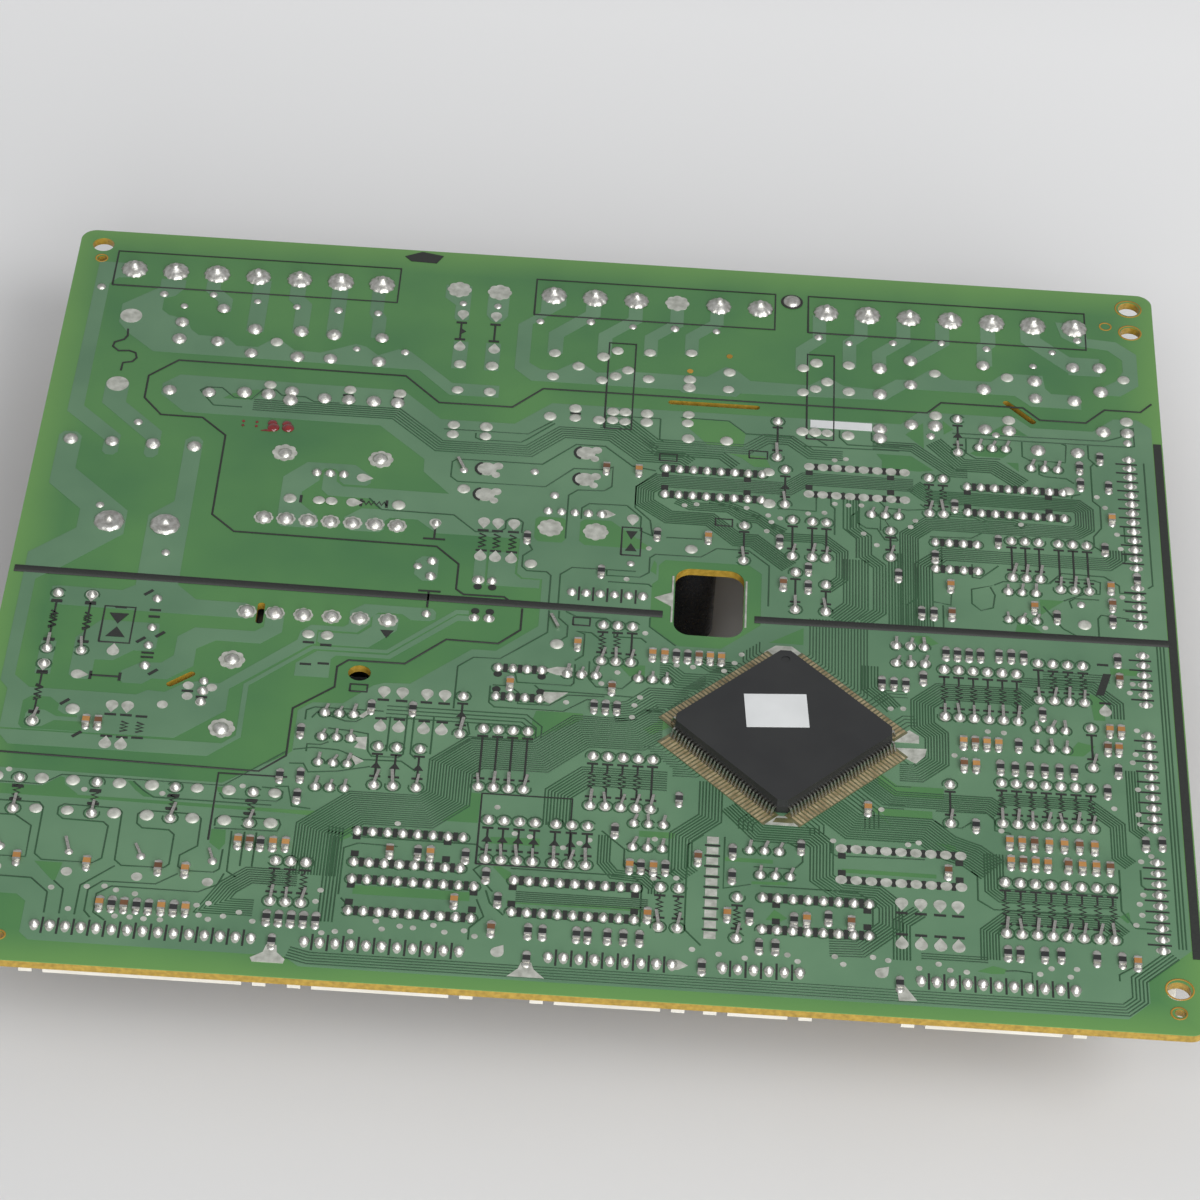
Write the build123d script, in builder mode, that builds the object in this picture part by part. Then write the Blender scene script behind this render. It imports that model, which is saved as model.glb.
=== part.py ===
"""A mains-powered appliance control board, solder side up, standing on its tallest components.

The frame has +X to the right, +Y to the power connectors and +Z up, with its origin under the middle.
Places on the board are measured from its middle.
"""

import os

from build123d import *

os.makedirs("parts", exist_ok=True)

# The bare board
BOARD_WIDTH = 209
BOARD_DEPTH = 194
BOARD_THICKNESS = 1.6
BOARD_CORNER = 3
COMPONENT_ROOM = 26
TOP = COMPONENT_ROOM + BOARD_THICKNESS

MOUNT_HOLE_RADIUS = 2.1
MOUNT_SPACING_X = 200
MOUNT_SPACING_Y = 180
MOUNT_MIDDLE_Y = 2.6
SUPPORT_HOLES = [(100, 85), (-40, -24)]
SUPPORT_HOLE_RADIUS = 2.0
TOOLING_HOLES = [(-99.7, 88.2), (100, -92.2), (-93.2, -91.6)]
TOOLING_HOLE_RADIUS = 0.9
WINDOW_CENTRE = (20.6, 0)
WINDOW_WIDTH = 12.4
WINDOW_DEPTH = 17.8
WINDOW_CORNER = 3
SLOT_WIDTH = 1.3
# x, y, length and turn of each creepage slot
SLOTS = [(20.1, 55.5, 17.3, 0), (77.8, 59, 8.4, -47), (-58.8, -10.2, 5.6, 90), (-70.8, -28.4, 5.8, 40)]

# The controller, a square flat pack turned by 45 degrees
CHIP_AT = (34.3, -33.5)
CHIP_TURN = 45
CHIP_SIZE = 28
CHIP_STANDOFF = 0.25
CHIP_HEIGHT = 3.1
CHIP_CHAMFER = 1.4
CHIP_DRAFT = 7
CHIP_DIMPLE_RADIUS = 0.8
CHIP_DIMPLE_DEPTH = 0.15
CHIP_DIMPLE_INSET = 3.4
LEADS_PER_SIDE = 32
LEAD_PITCH = 0.8
LEAD_WIDTH = 0.36
LEAD_THICKNESS = 0.17
LEAD_SPAN = 32
LEAD_FOOT = 0.9
LEAD_SHOULDER = 0.45
LABEL_WIDTH = 10.9
LABEL_DEPTH = 8.2
LABEL_THICKNESS = 0.1
LABEL_AT = (32.9, -30.4)
LABEL_TURN = 4.5

# Chip parts: x, y and whether the long side runs along X
CHIP_PART_LENGTH = 2.0
CHIP_PART_WIDTH = 1.25
CHIP_RESISTOR_HEIGHT = 0.5
CHIP_CAPACITOR_HEIGHT = 0.8
# rows of chip parts: first x, y, step and count
CHIP_RESISTOR_ROWS = [
    (-12.8, 14.4, 0, 1), (1, 6.4, 0, 1), (10.7, 17.4, 0, 1), (33, 17.6, 0, 1), (38.3, 10.6, 0, 1),
    (38.3, 5.7, 0, 1), (61.3, 16.2, 0, 1), (92.5, 46.7, 0, 1), (92.4, 21.1, 0, 1), (97.9, 13.2, 0, 1),
    (72.9, 21.4, 0, 1), (88.6, 43.6, 0, 1), (88.6, 38.9, 0, 1), (93.8, 38.6, 0, 1), (65.1, 30.6, 0, 1),
    (54.6, 10.4, 0, 1), (58.7, 0.8, 2.2, 2), (83, 1.8, 0, 1), (93, 1.7, 0, 1), (-48.8, -39.6, 0, 1),
    (-47.8, -50.4, 0, 1), (-51.3, -50.8, 0, 1), (-47.9, -55.4, 0, 1), (-37.2, -32.6, 0, 1),
    (-30, -32.4, 0, 1), (1.3, -28.9, 2, 3), (15.2, -14.6, 2, 2), (51.5, -18.3, 2.1, 3),
    (58.8, -16.4, 0, 1), (62.9, -9.6, 2.05, 4), (72.3, -9.3, 2.2, 3), (93.4, -8.7, 0, 1),
    (75.2, -31.9, 0, 1), (92.3, -36.7, 0, 1), (71.9, -37.7, 2.55, 6), (90.2, -42, 0, 1),
    (79.6, -23.6, 0, 1), (67.4, -52.2, 0, 1), (96.2, -54, 0, 1), (99, -53.7, 0, 1), (16.8, -50.4, 0, 1),
    (6.2, -58.8, 0, 1), (10.9, -66.9, 4.1, 2), (26.2, -62.1, 0, 1), (26.2, -67.8, 0, 1),
    (37.7, -60, 0, 1), (29.3, -76.8, 0, 1), (36.7, -77.1, 0, 1), (42.4, -76, 0, 1),
    (-14.8, -71.3, 0, 1), (-12.5, -76.7, 0, 1), (-18.5, -67, 0, 1), (-26.5, -66.9, 0, 1),
    (-52.9, -67.1, 0, 1), (-75.8, -83.3, 4.1, 1), (-71.7, -83.3, 2, 2), (-65.6, -83.3, 0, 1),
    (-50.2, -84, 2.03, 5), (-7.1, -83.4, 2.4, 2), (0.9, -83.5, 1.85, 2), (6, -83.4, 2.65, 3),
    (31, -83.4, 2.7, 2), (72.1, -81.4, 2.05, 2), (78.2, -81.4, 0, 1), (80.9, -81.2, 0, 1),
    (86.8, -81.4, 4.2, 2), (-48.8, -89.3, 0, 1), (-7, -89.6, 0, 1), (54.2, -89.8, 0, 1),
    (21.7, -88.9, 0, 1),
]
CHIP_CAPACITOR_ROWS = [
    (0.7, 35, 0, 1), (6.7, 34.9, 0, 1), (20, 17.4, 0, 1), (33.8, 6.1, 0, 1), (94, 29.5, 0, 1),
    (64, 8.4, 0, 1), (64.1, 0.9, 0, 1), (79, 4, 0, 1), (93, 10.6, 0, 1), (93.1, 5.9, 0, 1),
    (-2.3, -13.2, 0, 1), (-13.6, -24.4, 0, 1), (4.2, -24, 0, 1), (11, -14.7, 2.15, 2),
    (19.2, -14.7, 1.97, 3), (93.5, -13.7, 0, 1), (91.2, -26.8, 2, 2), (90.7, -31.3, 1.9, 2),
    (65.6, -32, 2.03, 4), (65.6, -37.6, 2.1, 2), (-85.7, -40.6, 2.1, 2), (-92.8, -74, 0, 1),
    (-81.1, -74.2, 0, 1), (-69.2, -74.3, 0, 1), (-64.7, -74.4, 0, 1), (-56.7, -67, 2, 2),
    (-50.8, -67, 2.1, 2), (-31.2, -67, 0, 1), (-24.4, -67, 0, 1), (-19.7, -77.6, 0, 1),
    (-13.2, -83.4, 0, 1), (9, -67, 4, 2), (20.4, -64.1, 0, 1), (25.6, -76.7, 0, 1),
    (38.8, -76.8, 7.4, 2), (12.4, -78, 0, 1), (-77.8, -83.3, 4.05, 2), (-67.6, -83.3, 4, 2),
    (62.5, -63.6, 0, 1), (73, -55.7, 2.1, 3), (79.7, -55.7, 2.57, 4), (73.1, -60.4, 2.08, 4),
    (82.8, -60.4, 2.35, 4), (93.5, -81.8, 0, 1), (49, -49.8, 0, 1),
]

# Power connectors along the back edge
POWER_PITCH = 8
POWER_ROW_INSET = 11.7
POWER_HEADER_DEPTH = 10.4
POWER_BASE_HEIGHT = 4
POWER_WALL_THICKNESS = 1.6
POWER_WALL_HEIGHT = 13
POWER_RIB_WIDTH = 1.4
POWER_PIN_SIZE = 1.14
POWER_PIN_LENGTH = 11.5
POWER_END_MARGIN = 3.6
POWER_PIN_TIP = 1.1
POWER_HOLE_CLEARANCE = 0.2
# first pin x, number of places and the places that hold no pin
POWER_HEADERS = {
    "power_header_left": (-93, 7, []),
    "power_header_middle": (-11.7, 6, [3]),
    "power_header_right": (41.1, 7, []),
}
SOLDER_RADIUS = 2.45
SOLDER_HEIGHT = 0.9
SOLDER_SIDES = 12
SOLDER_TAPER = 55

# Signal connectors along the front and right edges
HEADER_PITCH = 2.54
HEADER_DEPTH = 5.8
HEADER_HEIGHT = 6.8
HEADER_WALL = 0.7
HEADER_FLOOR = 2.2
HEADER_END_MARGIN = 2.6
HEADER_KEY_WIDTH = 1.8
HEADER_KEY_INSET = 3.1
HEADER_PIN_SIZE = 0.64
HEADER_PIN_LENGTH = 5.8
HEADER_EDGE_INSET = 8.4
SIDE_EDGE_INSET = 6.6
# first pin along the edge and number of pins
FRONT_HEADERS = [(-87.8, 15), (-43.5, 11), (-3.5, 9), (25.1, 6), (57.7, 11)]
SIDE_HEADERS = [(16.4, 13), (0.9, 5), (-19.6, 6), (-50.3, 10), (-78.6, 9)]
INNER_HEADER = (-4, 0.4, 6)

# Relays hang from the back half of the board
LARGE_RELAYS = [(-78.3, 62), (84.7, 60.4)]
LARGE_RELAY_WIDTH = 12.7
LARGE_RELAY_LENGTH = 29
LARGE_RELAY_EDGE = 0.6
# pins of a large relay from its middle
LARGE_RELAY_PINS = [(-3.7, 8), (-3.7, 2.9), (3.7, 12.9), (3.7, 2.9), (-3.7, -12.4), (3.7, -12.4)]
RELAY_STANDOFF = 0.6
SLIM_RELAY_WIDTH = 7.2
SLIM_RELAY_LENGTH = 22.4
SLIM_RELAY_HEIGHT = 15.3
# the back left pin of each slim relay
SLIM_RELAYS = [(-68, 69.2), (-52.9, 69), (-43.7, 69), (57.3, 72.2), (71.2, 72.2), (93.5, 73.6)]
SLIM_RELAY_PINS = [(0, 0), (0, -7.2), (0, -19), (4.5, -19)]
NARROW_RELAY_WIDTH = 5.2
NARROW_RELAY_LENGTH = 23
NARROW_RELAY_HEIGHT = 12.5
NARROW_RELAYS = [(-59.2, 69.4), (51.4, 69.3)]
NARROW_RELAY_PINS = [(0, 0), (0, -7.7), (0, -18), (0, -20.6)]
RELAY_PIN_SIZE = 0.9

# The switching transformer, its winding axis along Y
TRANSFORMER_AT = (-48.7, 2.6)
TRANSFORMER_ROW_SPACING = 25.4
PRIMARY_PITCH = 5.02
PRIMARY_PINS = 6
SECONDARY_PITCH = 4.05
SECONDARY_PINS = 7
FLANGE_WIDTH = 23
FLANGE_THICKNESS = 1.2
FLANGE_SPACING = 18
RAIL_WIDTH = 28
RAIL_DEPTH = 4.4
RAIL_HEIGHT = 5
RAIL_STANDOFF = 0.8
BARREL_WALL = 1
CORE_LEG_WIDTH = 9
CORE_WIDTH = 29
CORE_DEPTH = 31
CORE_HEIGHT = 11
CORE_BACK = 5.2
CORE_SIDE = 2.6
CORE_CLEARANCE = 0.2
WINDING_BUILD = 3.6
WINDING_CORNER = 2.5
WINDING_AXIS_Z = 10.6

# The bulk capacitor and the other radial electrolytics
BULK_AT = (-83.4, 11.6)
BULK_RADIUS = 11
BULK_PITCH = 10.2
BULK_EDGE = 0.7
BULK_EYELET_RADIUS = 2.7
BULK_EYELET_HEIGHT = 0.75
# x, y, radius and height
ELECTROLYTICS = [
    (17, 16.8, 5, 19.5), (-21.2, 29.3, 8, 25), (-95.6, -74, 4, 12), (-84, -74.2, 4, 12),
    (-72.3, -74.3, 4, 12), (-60.8, -74.4, 4, 12), (87.4, 2.9, 3.15, 11), (-6.2, -11.6, 3.15, 11),
]
# x, y, half the lead pitch, radius
DISC_CAPACITORS = [
    (-29.5, 11.5, 5.2, 5.4), (-29.5, -2.8, 5, 5), (-77.3, -12.1, 3.8, 4), (-77.4, -23.1, 2.6, 3),
]
DISC_THICKNESS = 4
DISC_SIDES = 16
DISC_GAP = 2

# Power semiconductors and their heat sinks
BRIDGE_AT = (-87, 33.8)
BRIDGE_WIDTH = 30
BRIDGE_THICKNESS = 4.6
BRIDGE_HEIGHT = 18
BRIDGE_PITCH = 7.6
BRIDGE_STANDOFF = 3.5
BRIDGE_SCREW_RADIUS = 1.6
BRIDGE_LEG = 1.1
SINK_PLATE = 2
SINK_LENGTH = 23
SINK_FIN = 9
SINK_FIN_THICKNESS = 1.2
SINK_FINS = 5
SINK_HEIGHT = 24
SINK_PIN_SIZE = 1.6
SINK_STANDOFF = 1
SINK_PIN_SPACING = 17.6
SWITCH_SINK_AT = (-62.5, -31.5)
RECTIFIER_SINK_AT = (-49.9, 33.5)
POWER_PACK_WIDTH = 10.2
POWER_PACK_THICKNESS = 4.5
POWER_PACK_HEIGHT = 15.6
POWER_PACK_STANDOFF = 4
POWER_PACK_LEAD = 0.8
POWER_PACK_BEVEL = 0.9
SWITCH_WIDTH = 15.4
SWITCH_HEIGHT = 19
REGULATOR_AT = (-4.5, 22)
REGULATOR_PITCH = 2.45
# straight leads under each power package
SWITCH_LEADS = [(-66.7, -28.7), (-66.7, -31.2), (-66.7, -33.8)]
RECTIFIER_LEADS = [(-52.4, 28.6), (-49.9, 28.6), (-47.4, 28.6)]

# Dual in-line chips: first pin x, the back row's y, pins in a row
DUAL_PITCH = 2.54
DUAL_ROW_SPACING = 7.6
DUAL_CHIPS = [
    (11.7, 36.3, 8), (67.5, 36.5, 8), (-37, -62.5, 8), (-37, -73.7, 9), (-10.1, -71.7, 9),
    (31.4, -72, 8), (61.4, 20.4, 4), (-15.9, -20.3, 4),
]
DUAL_BODY_WIDTH = 6.4
DUAL_BODY_HEIGHT = 3.3
DUAL_STANDOFF = 0.5
DUAL_CHAMFER = 0.6
DUAL_DRAFT = 6
DUAL_LEG = 0.5
COUPLER_AT = (-19.7, -3)
COUPLER_ROW_SPACING = 9.9
COUPLER_WIDTH = 4.6
COUPLER_DEPTH = 6.6
COUPLER_PITCH = 2.54

# Small transistors: the middle lead's place
TRANSISTORS = [
    (72.4, 47.8), (82, 42.8), (76.9, 8), (76.8, 0.6), (52.2, 26.8), (56.6, -8.3), (56.6, -12.7),
    (81, -27.4), (81, -32.2), (11.8, -56.7), (11.8, -62.3), (31.5, -61.3), (33.4, -67),
    (11.2, -21), (-1.3, -21), (-42.6, -34.6), (-42.6, -40.5), (-42.6, -46.8), (-42.6, -52.8),
]
TRANSISTOR_PITCH = 2.5
TRANSISTOR_RADIUS = 2.6
TRANSISTOR_FLAT = 1.5
TRANSISTOR_SIDES = 8
TRANSISTOR_HEIGHT = 4.6
TRANSISTOR_STANDOFF = 2.5
TRANSISTOR_LEAD = 0.45

# Axial parts: first x, step, count, back lead y, front lead y
AXIAL_LEAD = 0.6
JUMPER_DROP = 1.2
RESISTOR_ROWS = [
    (1.7, 2.6, 4, -41, -53), (62.5, 2.56, 6, -13.6, -25.6), (72, 2.55, 7, -41.2, -51),
    (72, 2.57, 8, -65, -76.7), (81.8, 2.65, 3, -10.4, -19.8), (-50, 2.55, 3, -70.7, -80),
    (14.3, 3.1, 2, -71.2, -80.3), (2, 2.6, 2, -7.6, -16.9), (60.4, 2.6, 2, 38.2, 28.3),
    (27.2, 0, 1, -72.4, -81.7),
]
POWER_RESISTOR_ROWS = [(-94.9, 6, 2, -8.3, -22.7), (-94.9, 0, 1, -26.7, -41.2)]
DIODE_ROWS = [
    (-15.2, 2.63, 4, -58, -67.2), (-3.8, 2.7, 3, -58, -67.2), (-35.2, 3.2, 2, -42, -51.4),
    (-28, 0, 1, -42, -51.4), (-21.5, 0, 1, -28.2, -37.6), (33.8, 0, 1, 38, 28.2), (66, 0, 1, 55.8, 46.2),
]
JUMPER_ROWS = [
    (-17.5, 2.58, 4, -36, -50.2), (12, 0, 1, -41, -53), (75.3, 2.5, 3, 22, 12), (83.9, 2.6, 3, 22, 9.6),
    (26.5, 0, 1, 21.6, 12), (38.9, 2.6, 2, 23.8, 14), (35.3, 0, 1, 24, 14), (36, 0, 1, 9.6, -0.3),
    (41.5, 0, 1, 6.8, -0.4), (7.2, 0, 1, -7.6, -16.9), (79.2, 0, 1, -10.4, -19.8),
    (63.1, 0, 1, -42.4, -51.8), (88, 0, 1, -26.2, -36), (32.2, 0, 1, 51.8, 41.4), (53.2, 0, 1, 22.6, 15.4),
]
BEAD_ROWS = [(-95.1, 13.25, 4, -55, -62.4)]
# rows, body length, body radius and sides of the body's section
AXIAL_PARTS = {
    "resistors": (RESISTOR_ROWS, 6.3, 1.1, 6),
    "power_resistors": (POWER_RESISTOR_ROWS, 11, 2.1, 8),
    "diodes": (DIODE_ROWS, 5.2, 1.3, 8),
    "ferrite_beads": (BEAD_ROWS, 4, 1.75, 8),
}


def block(x, y, width, depth, low, high):
    """Add a block to the part being built."""
    with Locations((x, y, (low + high) / 2)):
        Box(width, depth, high - low)


def row_points(rows):
    """The middle of each chip part in rows of (first x, y, step, count)."""
    return [(x + i * step, y) for x, y, step, count in rows for i in range(count)]


def axial_places(rows):
    """Each axial part of the rows as (x, back lead y, front lead y)."""
    return [(x + i * step, back, front) for x, step, count, back, front in rows for i in range(count)]


def pins(points, size, low, high):
    """Square pins of one size on a list of points."""
    with BuildSketch(Plane.XY.offset(low)) as pattern:
        with Locations(*points):
            Rectangle(size, size)
    extrude(pattern.sketch, amount=high - low)


def save(builder, label):
    """Name a finished piece and write it."""
    builder.part.label = label
    export_step(builder.part, f"parts/{label}.step")


# The board itself
mount_points = [
    (side_x * MOUNT_SPACING_X / 2, MOUNT_MIDDLE_Y + side_y * MOUNT_SPACING_Y / 2)
    for side_x in (-1, 1)
    for side_y in (-1, 1)
]
power_y = BOARD_DEPTH / 2 - POWER_ROW_INSET
power_pins_at = [
    (first + i * POWER_PITCH, power_y)
    for first, count, empty in POWER_HEADERS.values()
    for i in range(count)
    if i not in empty
]
power_hole = POWER_PIN_SIZE + POWER_HOLE_CLEARANCE
with BuildPart() as circuit_board:
    with BuildSketch(Plane.XY.offset(COMPONENT_ROOM)):
        RectangleRounded(BOARD_WIDTH, BOARD_DEPTH, BOARD_CORNER)
        with Locations(*mount_points):
            Circle(MOUNT_HOLE_RADIUS, mode=Mode.SUBTRACT)
        with Locations(*SUPPORT_HOLES):
            Circle(SUPPORT_HOLE_RADIUS, mode=Mode.SUBTRACT)
        with Locations(*TOOLING_HOLES):
            Circle(TOOLING_HOLE_RADIUS, mode=Mode.SUBTRACT)
        with Locations(WINDOW_CENTRE):
            RectangleRounded(WINDOW_WIDTH, WINDOW_DEPTH, WINDOW_CORNER, mode=Mode.SUBTRACT)
        for slot_x, slot_y, length, turn in SLOTS:
            with Locations(Location((slot_x, slot_y), turn)):
                SlotOverall(length, SLOT_WIDTH, mode=Mode.SUBTRACT)
        with Locations(*power_pins_at):
            Rectangle(power_hole, power_hole, mode=Mode.SUBTRACT)
    extrude(amount=BOARD_THICKNESS)
save(circuit_board, "circuit_board")

# The controller's moulded body, drafted above and below its parting line
chip_low = TOP + CHIP_STANDOFF
chip_middle = chip_low + CHIP_HEIGHT / 2
with BuildPart() as controller_chip:
    with BuildSketch(Plane.XY.offset(chip_middle)) as chip_outline:
        with Locations(Location(CHIP_AT, CHIP_TURN)):
            Rectangle(CHIP_SIZE, CHIP_SIZE)
        chamfer(chip_outline.vertices(), CHIP_CHAMFER)
    extrude(amount=CHIP_HEIGHT / 2, taper=CHIP_DRAFT)
    extrude(chip_outline.sketch, amount=-CHIP_HEIGHT / 2, taper=CHIP_DRAFT)
    dimple_y = CHIP_AT[1] + CHIP_SIZE / 2**0.5 - CHIP_DIMPLE_INSET
    with Locations((CHIP_AT[0], dimple_y, chip_low + CHIP_HEIGHT)):
        Cylinder(CHIP_DIMPLE_RADIUS, 2 * CHIP_DIMPLE_DEPTH, mode=Mode.SUBTRACT)
save(controller_chip, "controller_chip")

# Gull-wing leads: out of the body, down to the heel and along the pad
lead_in = CHIP_SIZE / 2
lead_out = LEAD_SPAN / 2
heel = lead_out - LEAD_FOOT
lead_z = chip_middle - LEAD_THICKNESS / 2
with BuildPart() as one_lead:
    with BuildSketch(Plane.XZ):
        with BuildLine():
            Polyline(
                (lead_in, lead_z),
                (lead_in + LEAD_SHOULDER - LEAD_THICKNESS / 2, lead_z),
                (heel - LEAD_THICKNESS / 2, TOP),
                (lead_out, TOP),
                (lead_out, TOP + LEAD_THICKNESS),
                (heel + LEAD_THICKNESS / 2, TOP + LEAD_THICKNESS),
                (lead_in + LEAD_SHOULDER + LEAD_THICKNESS / 2, lead_z + LEAD_THICKNESS),
                (lead_in, lead_z + LEAD_THICKNESS),
                close=True,
            )
        make_face()
    extrude(amount=LEAD_WIDTH / 2, both=True)
lead_places = [
    Location((*CHIP_AT, 0), (0, 0, CHIP_TURN + 90 * side))
    * Location((0, (i - (LEADS_PER_SIDE - 1) / 2) * LEAD_PITCH, 0))
    for side in range(4)
    for i in range(LEADS_PER_SIDE)
]
with BuildPart() as controller_leads:
    with Locations(*lead_places):
        add(one_lead.part)
save(controller_leads, "controller_leads")

with BuildPart() as controller_label:
    with BuildSketch(Plane.XY.offset(chip_low + CHIP_HEIGHT)):
        with Locations(Location(LABEL_AT, LABEL_TURN)):
            Rectangle(LABEL_WIDTH, LABEL_DEPTH)
    extrude(amount=LABEL_THICKNESS)
save(controller_label, "controller_label")

# Chip parts stand on the board with their long side along Y
with BuildPart() as chip_resistors:
    with BuildSketch(Plane.XY.offset(TOP)):
        with Locations(*row_points(CHIP_RESISTOR_ROWS)):
            Rectangle(CHIP_PART_WIDTH, CHIP_PART_LENGTH)
    extrude(amount=CHIP_RESISTOR_HEIGHT)
save(chip_resistors, "chip_resistors")

with BuildPart() as chip_capacitors:
    with BuildSketch(Plane.XY.offset(TOP)):
        with Locations(*row_points(CHIP_CAPACITOR_ROWS)):
            Rectangle(CHIP_PART_WIDTH, CHIP_PART_LENGTH)
    extrude(amount=CHIP_CAPACITOR_HEIGHT)
save(chip_capacitors, "chip_capacitors")

# Power headers: a base with a tall locking wall and a rib between each two pins
for node, (first, count, empty) in POWER_HEADERS.items():
    length = (count - 1) * POWER_PITCH + 2 * POWER_END_MARGIN
    middle = first + (count - 1) * POWER_PITCH / 2
    base_low = COMPONENT_ROOM - POWER_BASE_HEIGHT
    wall_low = COMPONENT_ROOM - POWER_WALL_HEIGHT
    rib_low = COMPONENT_ROOM - POWER_WALL_HEIGHT / 2
    wall_y = power_y + POWER_HEADER_DEPTH / 2 - POWER_WALL_THICKNESS / 2
    with BuildPart() as power_header:
        block(middle, power_y, length, POWER_HEADER_DEPTH, base_low, COMPONENT_ROOM)
        block(middle, wall_y, length, POWER_WALL_THICKNESS, wall_low, COMPONENT_ROOM)
        for i in range(count - 1):
            rib_x = first + (i + 0.5) * POWER_PITCH
            block(rib_x, power_y, POWER_RIB_WIDTH, POWER_HEADER_DEPTH, rib_low, COMPONENT_ROOM)
        with BuildSketch(Plane.XY.offset(base_low)):
            with Locations(*[(first + i * POWER_PITCH, power_y) for i in range(count) if i not in empty]):
                Rectangle(POWER_PIN_SIZE, POWER_PIN_SIZE)
        extrude(amount=POWER_BASE_HEIGHT, mode=Mode.SUBTRACT)
    save(power_header, node)

with BuildPart() as power_pins:
    pins(power_pins_at, POWER_PIN_SIZE, COMPONENT_ROOM - POWER_PIN_LENGTH, TOP + POWER_PIN_TIP)
save(power_pins, "power_pins")

# Solder rises round each power pin
with BuildPart() as one_joint:
    with BuildSketch():
        RegularPolygon(SOLDER_RADIUS, SOLDER_SIDES)
    extrude(amount=SOLDER_HEIGHT, taper=SOLDER_TAPER)
    Box(POWER_PIN_SIZE, POWER_PIN_SIZE, 4 * SOLDER_HEIGHT, mode=Mode.SUBTRACT)
with BuildPart() as power_solder_joints:
    with Locations(*[(x, y, TOP) for x, y in power_pins_at]):
        add(one_joint.part)
save(power_solder_joints, "power_solder_joints")


def header_body(count):
    """A boxed header at the origin, its row of pins along X, open below, with two keyways."""
    length = (count - 1) * HEADER_PITCH + 2 * HEADER_END_MARGIN
    with BuildPart() as body:
        block(0, 0, length, HEADER_DEPTH, COMPONENT_ROOM - HEADER_HEIGHT, COMPONENT_ROOM)
        with BuildSketch(Plane.XY.offset(COMPONENT_ROOM - HEADER_HEIGHT)):
            Rectangle(length - 2 * HEADER_WALL, HEADER_DEPTH - 2 * HEADER_WALL)
            with Locations((0, -HEADER_DEPTH / 2)):
                with GridLocations(length - 2 * HEADER_KEY_INSET, 0, 2, 1):
                    Rectangle(HEADER_KEY_WIDTH, 4 * HEADER_WALL)
        extrude(amount=HEADER_HEIGHT - HEADER_FLOOR, mode=Mode.SUBTRACT)
    return body.part


def header_middle(first, count):
    """The middle of a row of header pins along its edge."""
    return first + (count - 1) * HEADER_PITCH / 2


front_y = -BOARD_DEPTH / 2 + HEADER_EDGE_INSET
side_x = BOARD_WIDTH / 2 - SIDE_EDGE_INSET
for number, (first, count) in enumerate(FRONT_HEADERS, start=1):
    with BuildPart() as front_header:
        with Locations((header_middle(first, count), front_y, 0)):
            add(header_body(count))
    save(front_header, f"front_header_{number}")
for number, (first, count) in enumerate(SIDE_HEADERS, start=1):
    with BuildPart() as side_header:
        with Locations(Location((side_x, header_middle(first, count), 0), (0, 0, 90))):
            add(header_body(count))
    save(side_header, f"side_header_{number}")
with BuildPart() as inner_header:
    with Locations((header_middle(INNER_HEADER[0], INNER_HEADER[2]), INNER_HEADER[1], 0)):
        add(header_body(INNER_HEADER[2]))
save(inner_header, "inner_header")

header_pin_low = COMPONENT_ROOM - HEADER_PIN_LENGTH
header_pin_high = COMPONENT_ROOM - HEADER_FLOOR
header_points = [(x + i * HEADER_PITCH, front_y) for x, count in FRONT_HEADERS for i in range(count)]
header_points += [(side_x, y + i * HEADER_PITCH) for y, count in SIDE_HEADERS for i in range(count)]
header_points += [(INNER_HEADER[0] + i * HEADER_PITCH, INNER_HEADER[1]) for i in range(INNER_HEADER[2])]
with BuildPart() as header_pins:
    pins(header_points, HEADER_PIN_SIZE, header_pin_low, header_pin_high)
save(header_pins, "header_pins")

# Relays: sealed covers on short pins
relay_high = COMPONENT_ROOM - RELAY_STANDOFF
with BuildPart() as motor_relays:
    with BuildSketch(Plane.XY.offset(relay_high)):
        with Locations(*LARGE_RELAYS):
            Rectangle(LARGE_RELAY_WIDTH, LARGE_RELAY_LENGTH)
    extrude(amount=-relay_high)
    chamfer(motor_relays.faces().group_by(Axis.Z)[0].edges(), LARGE_RELAY_EDGE)
save(motor_relays, "motor_relays")

slim_middle_x = SLIM_RELAY_PINS[3][0] / 2
slim_middle_y = SLIM_RELAY_PINS[3][1] / 2
with BuildPart() as slim_relays:
    with BuildSketch(Plane.XY.offset(relay_high)):
        with Locations(*[(x + slim_middle_x, y + slim_middle_y) for x, y in SLIM_RELAYS]):
            Rectangle(SLIM_RELAY_WIDTH, SLIM_RELAY_LENGTH)
    extrude(amount=-SLIM_RELAY_HEIGHT)
save(slim_relays, "slim_relays")

narrow_middle_y = NARROW_RELAY_PINS[3][1] / 2
with BuildPart() as narrow_relays:
    with BuildSketch(Plane.XY.offset(relay_high)):
        with Locations(*[(x, y + narrow_middle_y) for x, y in NARROW_RELAYS]):
            Rectangle(NARROW_RELAY_WIDTH, NARROW_RELAY_LENGTH)
    extrude(amount=-NARROW_RELAY_HEIGHT)
save(narrow_relays, "narrow_relays")

relay_points = [(x + dx, y + dy) for x, y in LARGE_RELAYS for dx, dy in LARGE_RELAY_PINS]
relay_points += [(x + dx, y + dy) for x, y in SLIM_RELAYS for dx, dy in SLIM_RELAY_PINS]
relay_points += [(x + dx, y + dy) for x, y in NARROW_RELAYS for dx, dy in NARROW_RELAY_PINS]
with BuildPart() as relay_pins:
    pins(relay_points, RELAY_PIN_SIZE, relay_high, COMPONENT_ROOM)
save(relay_pins, "relay_pins")

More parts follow.
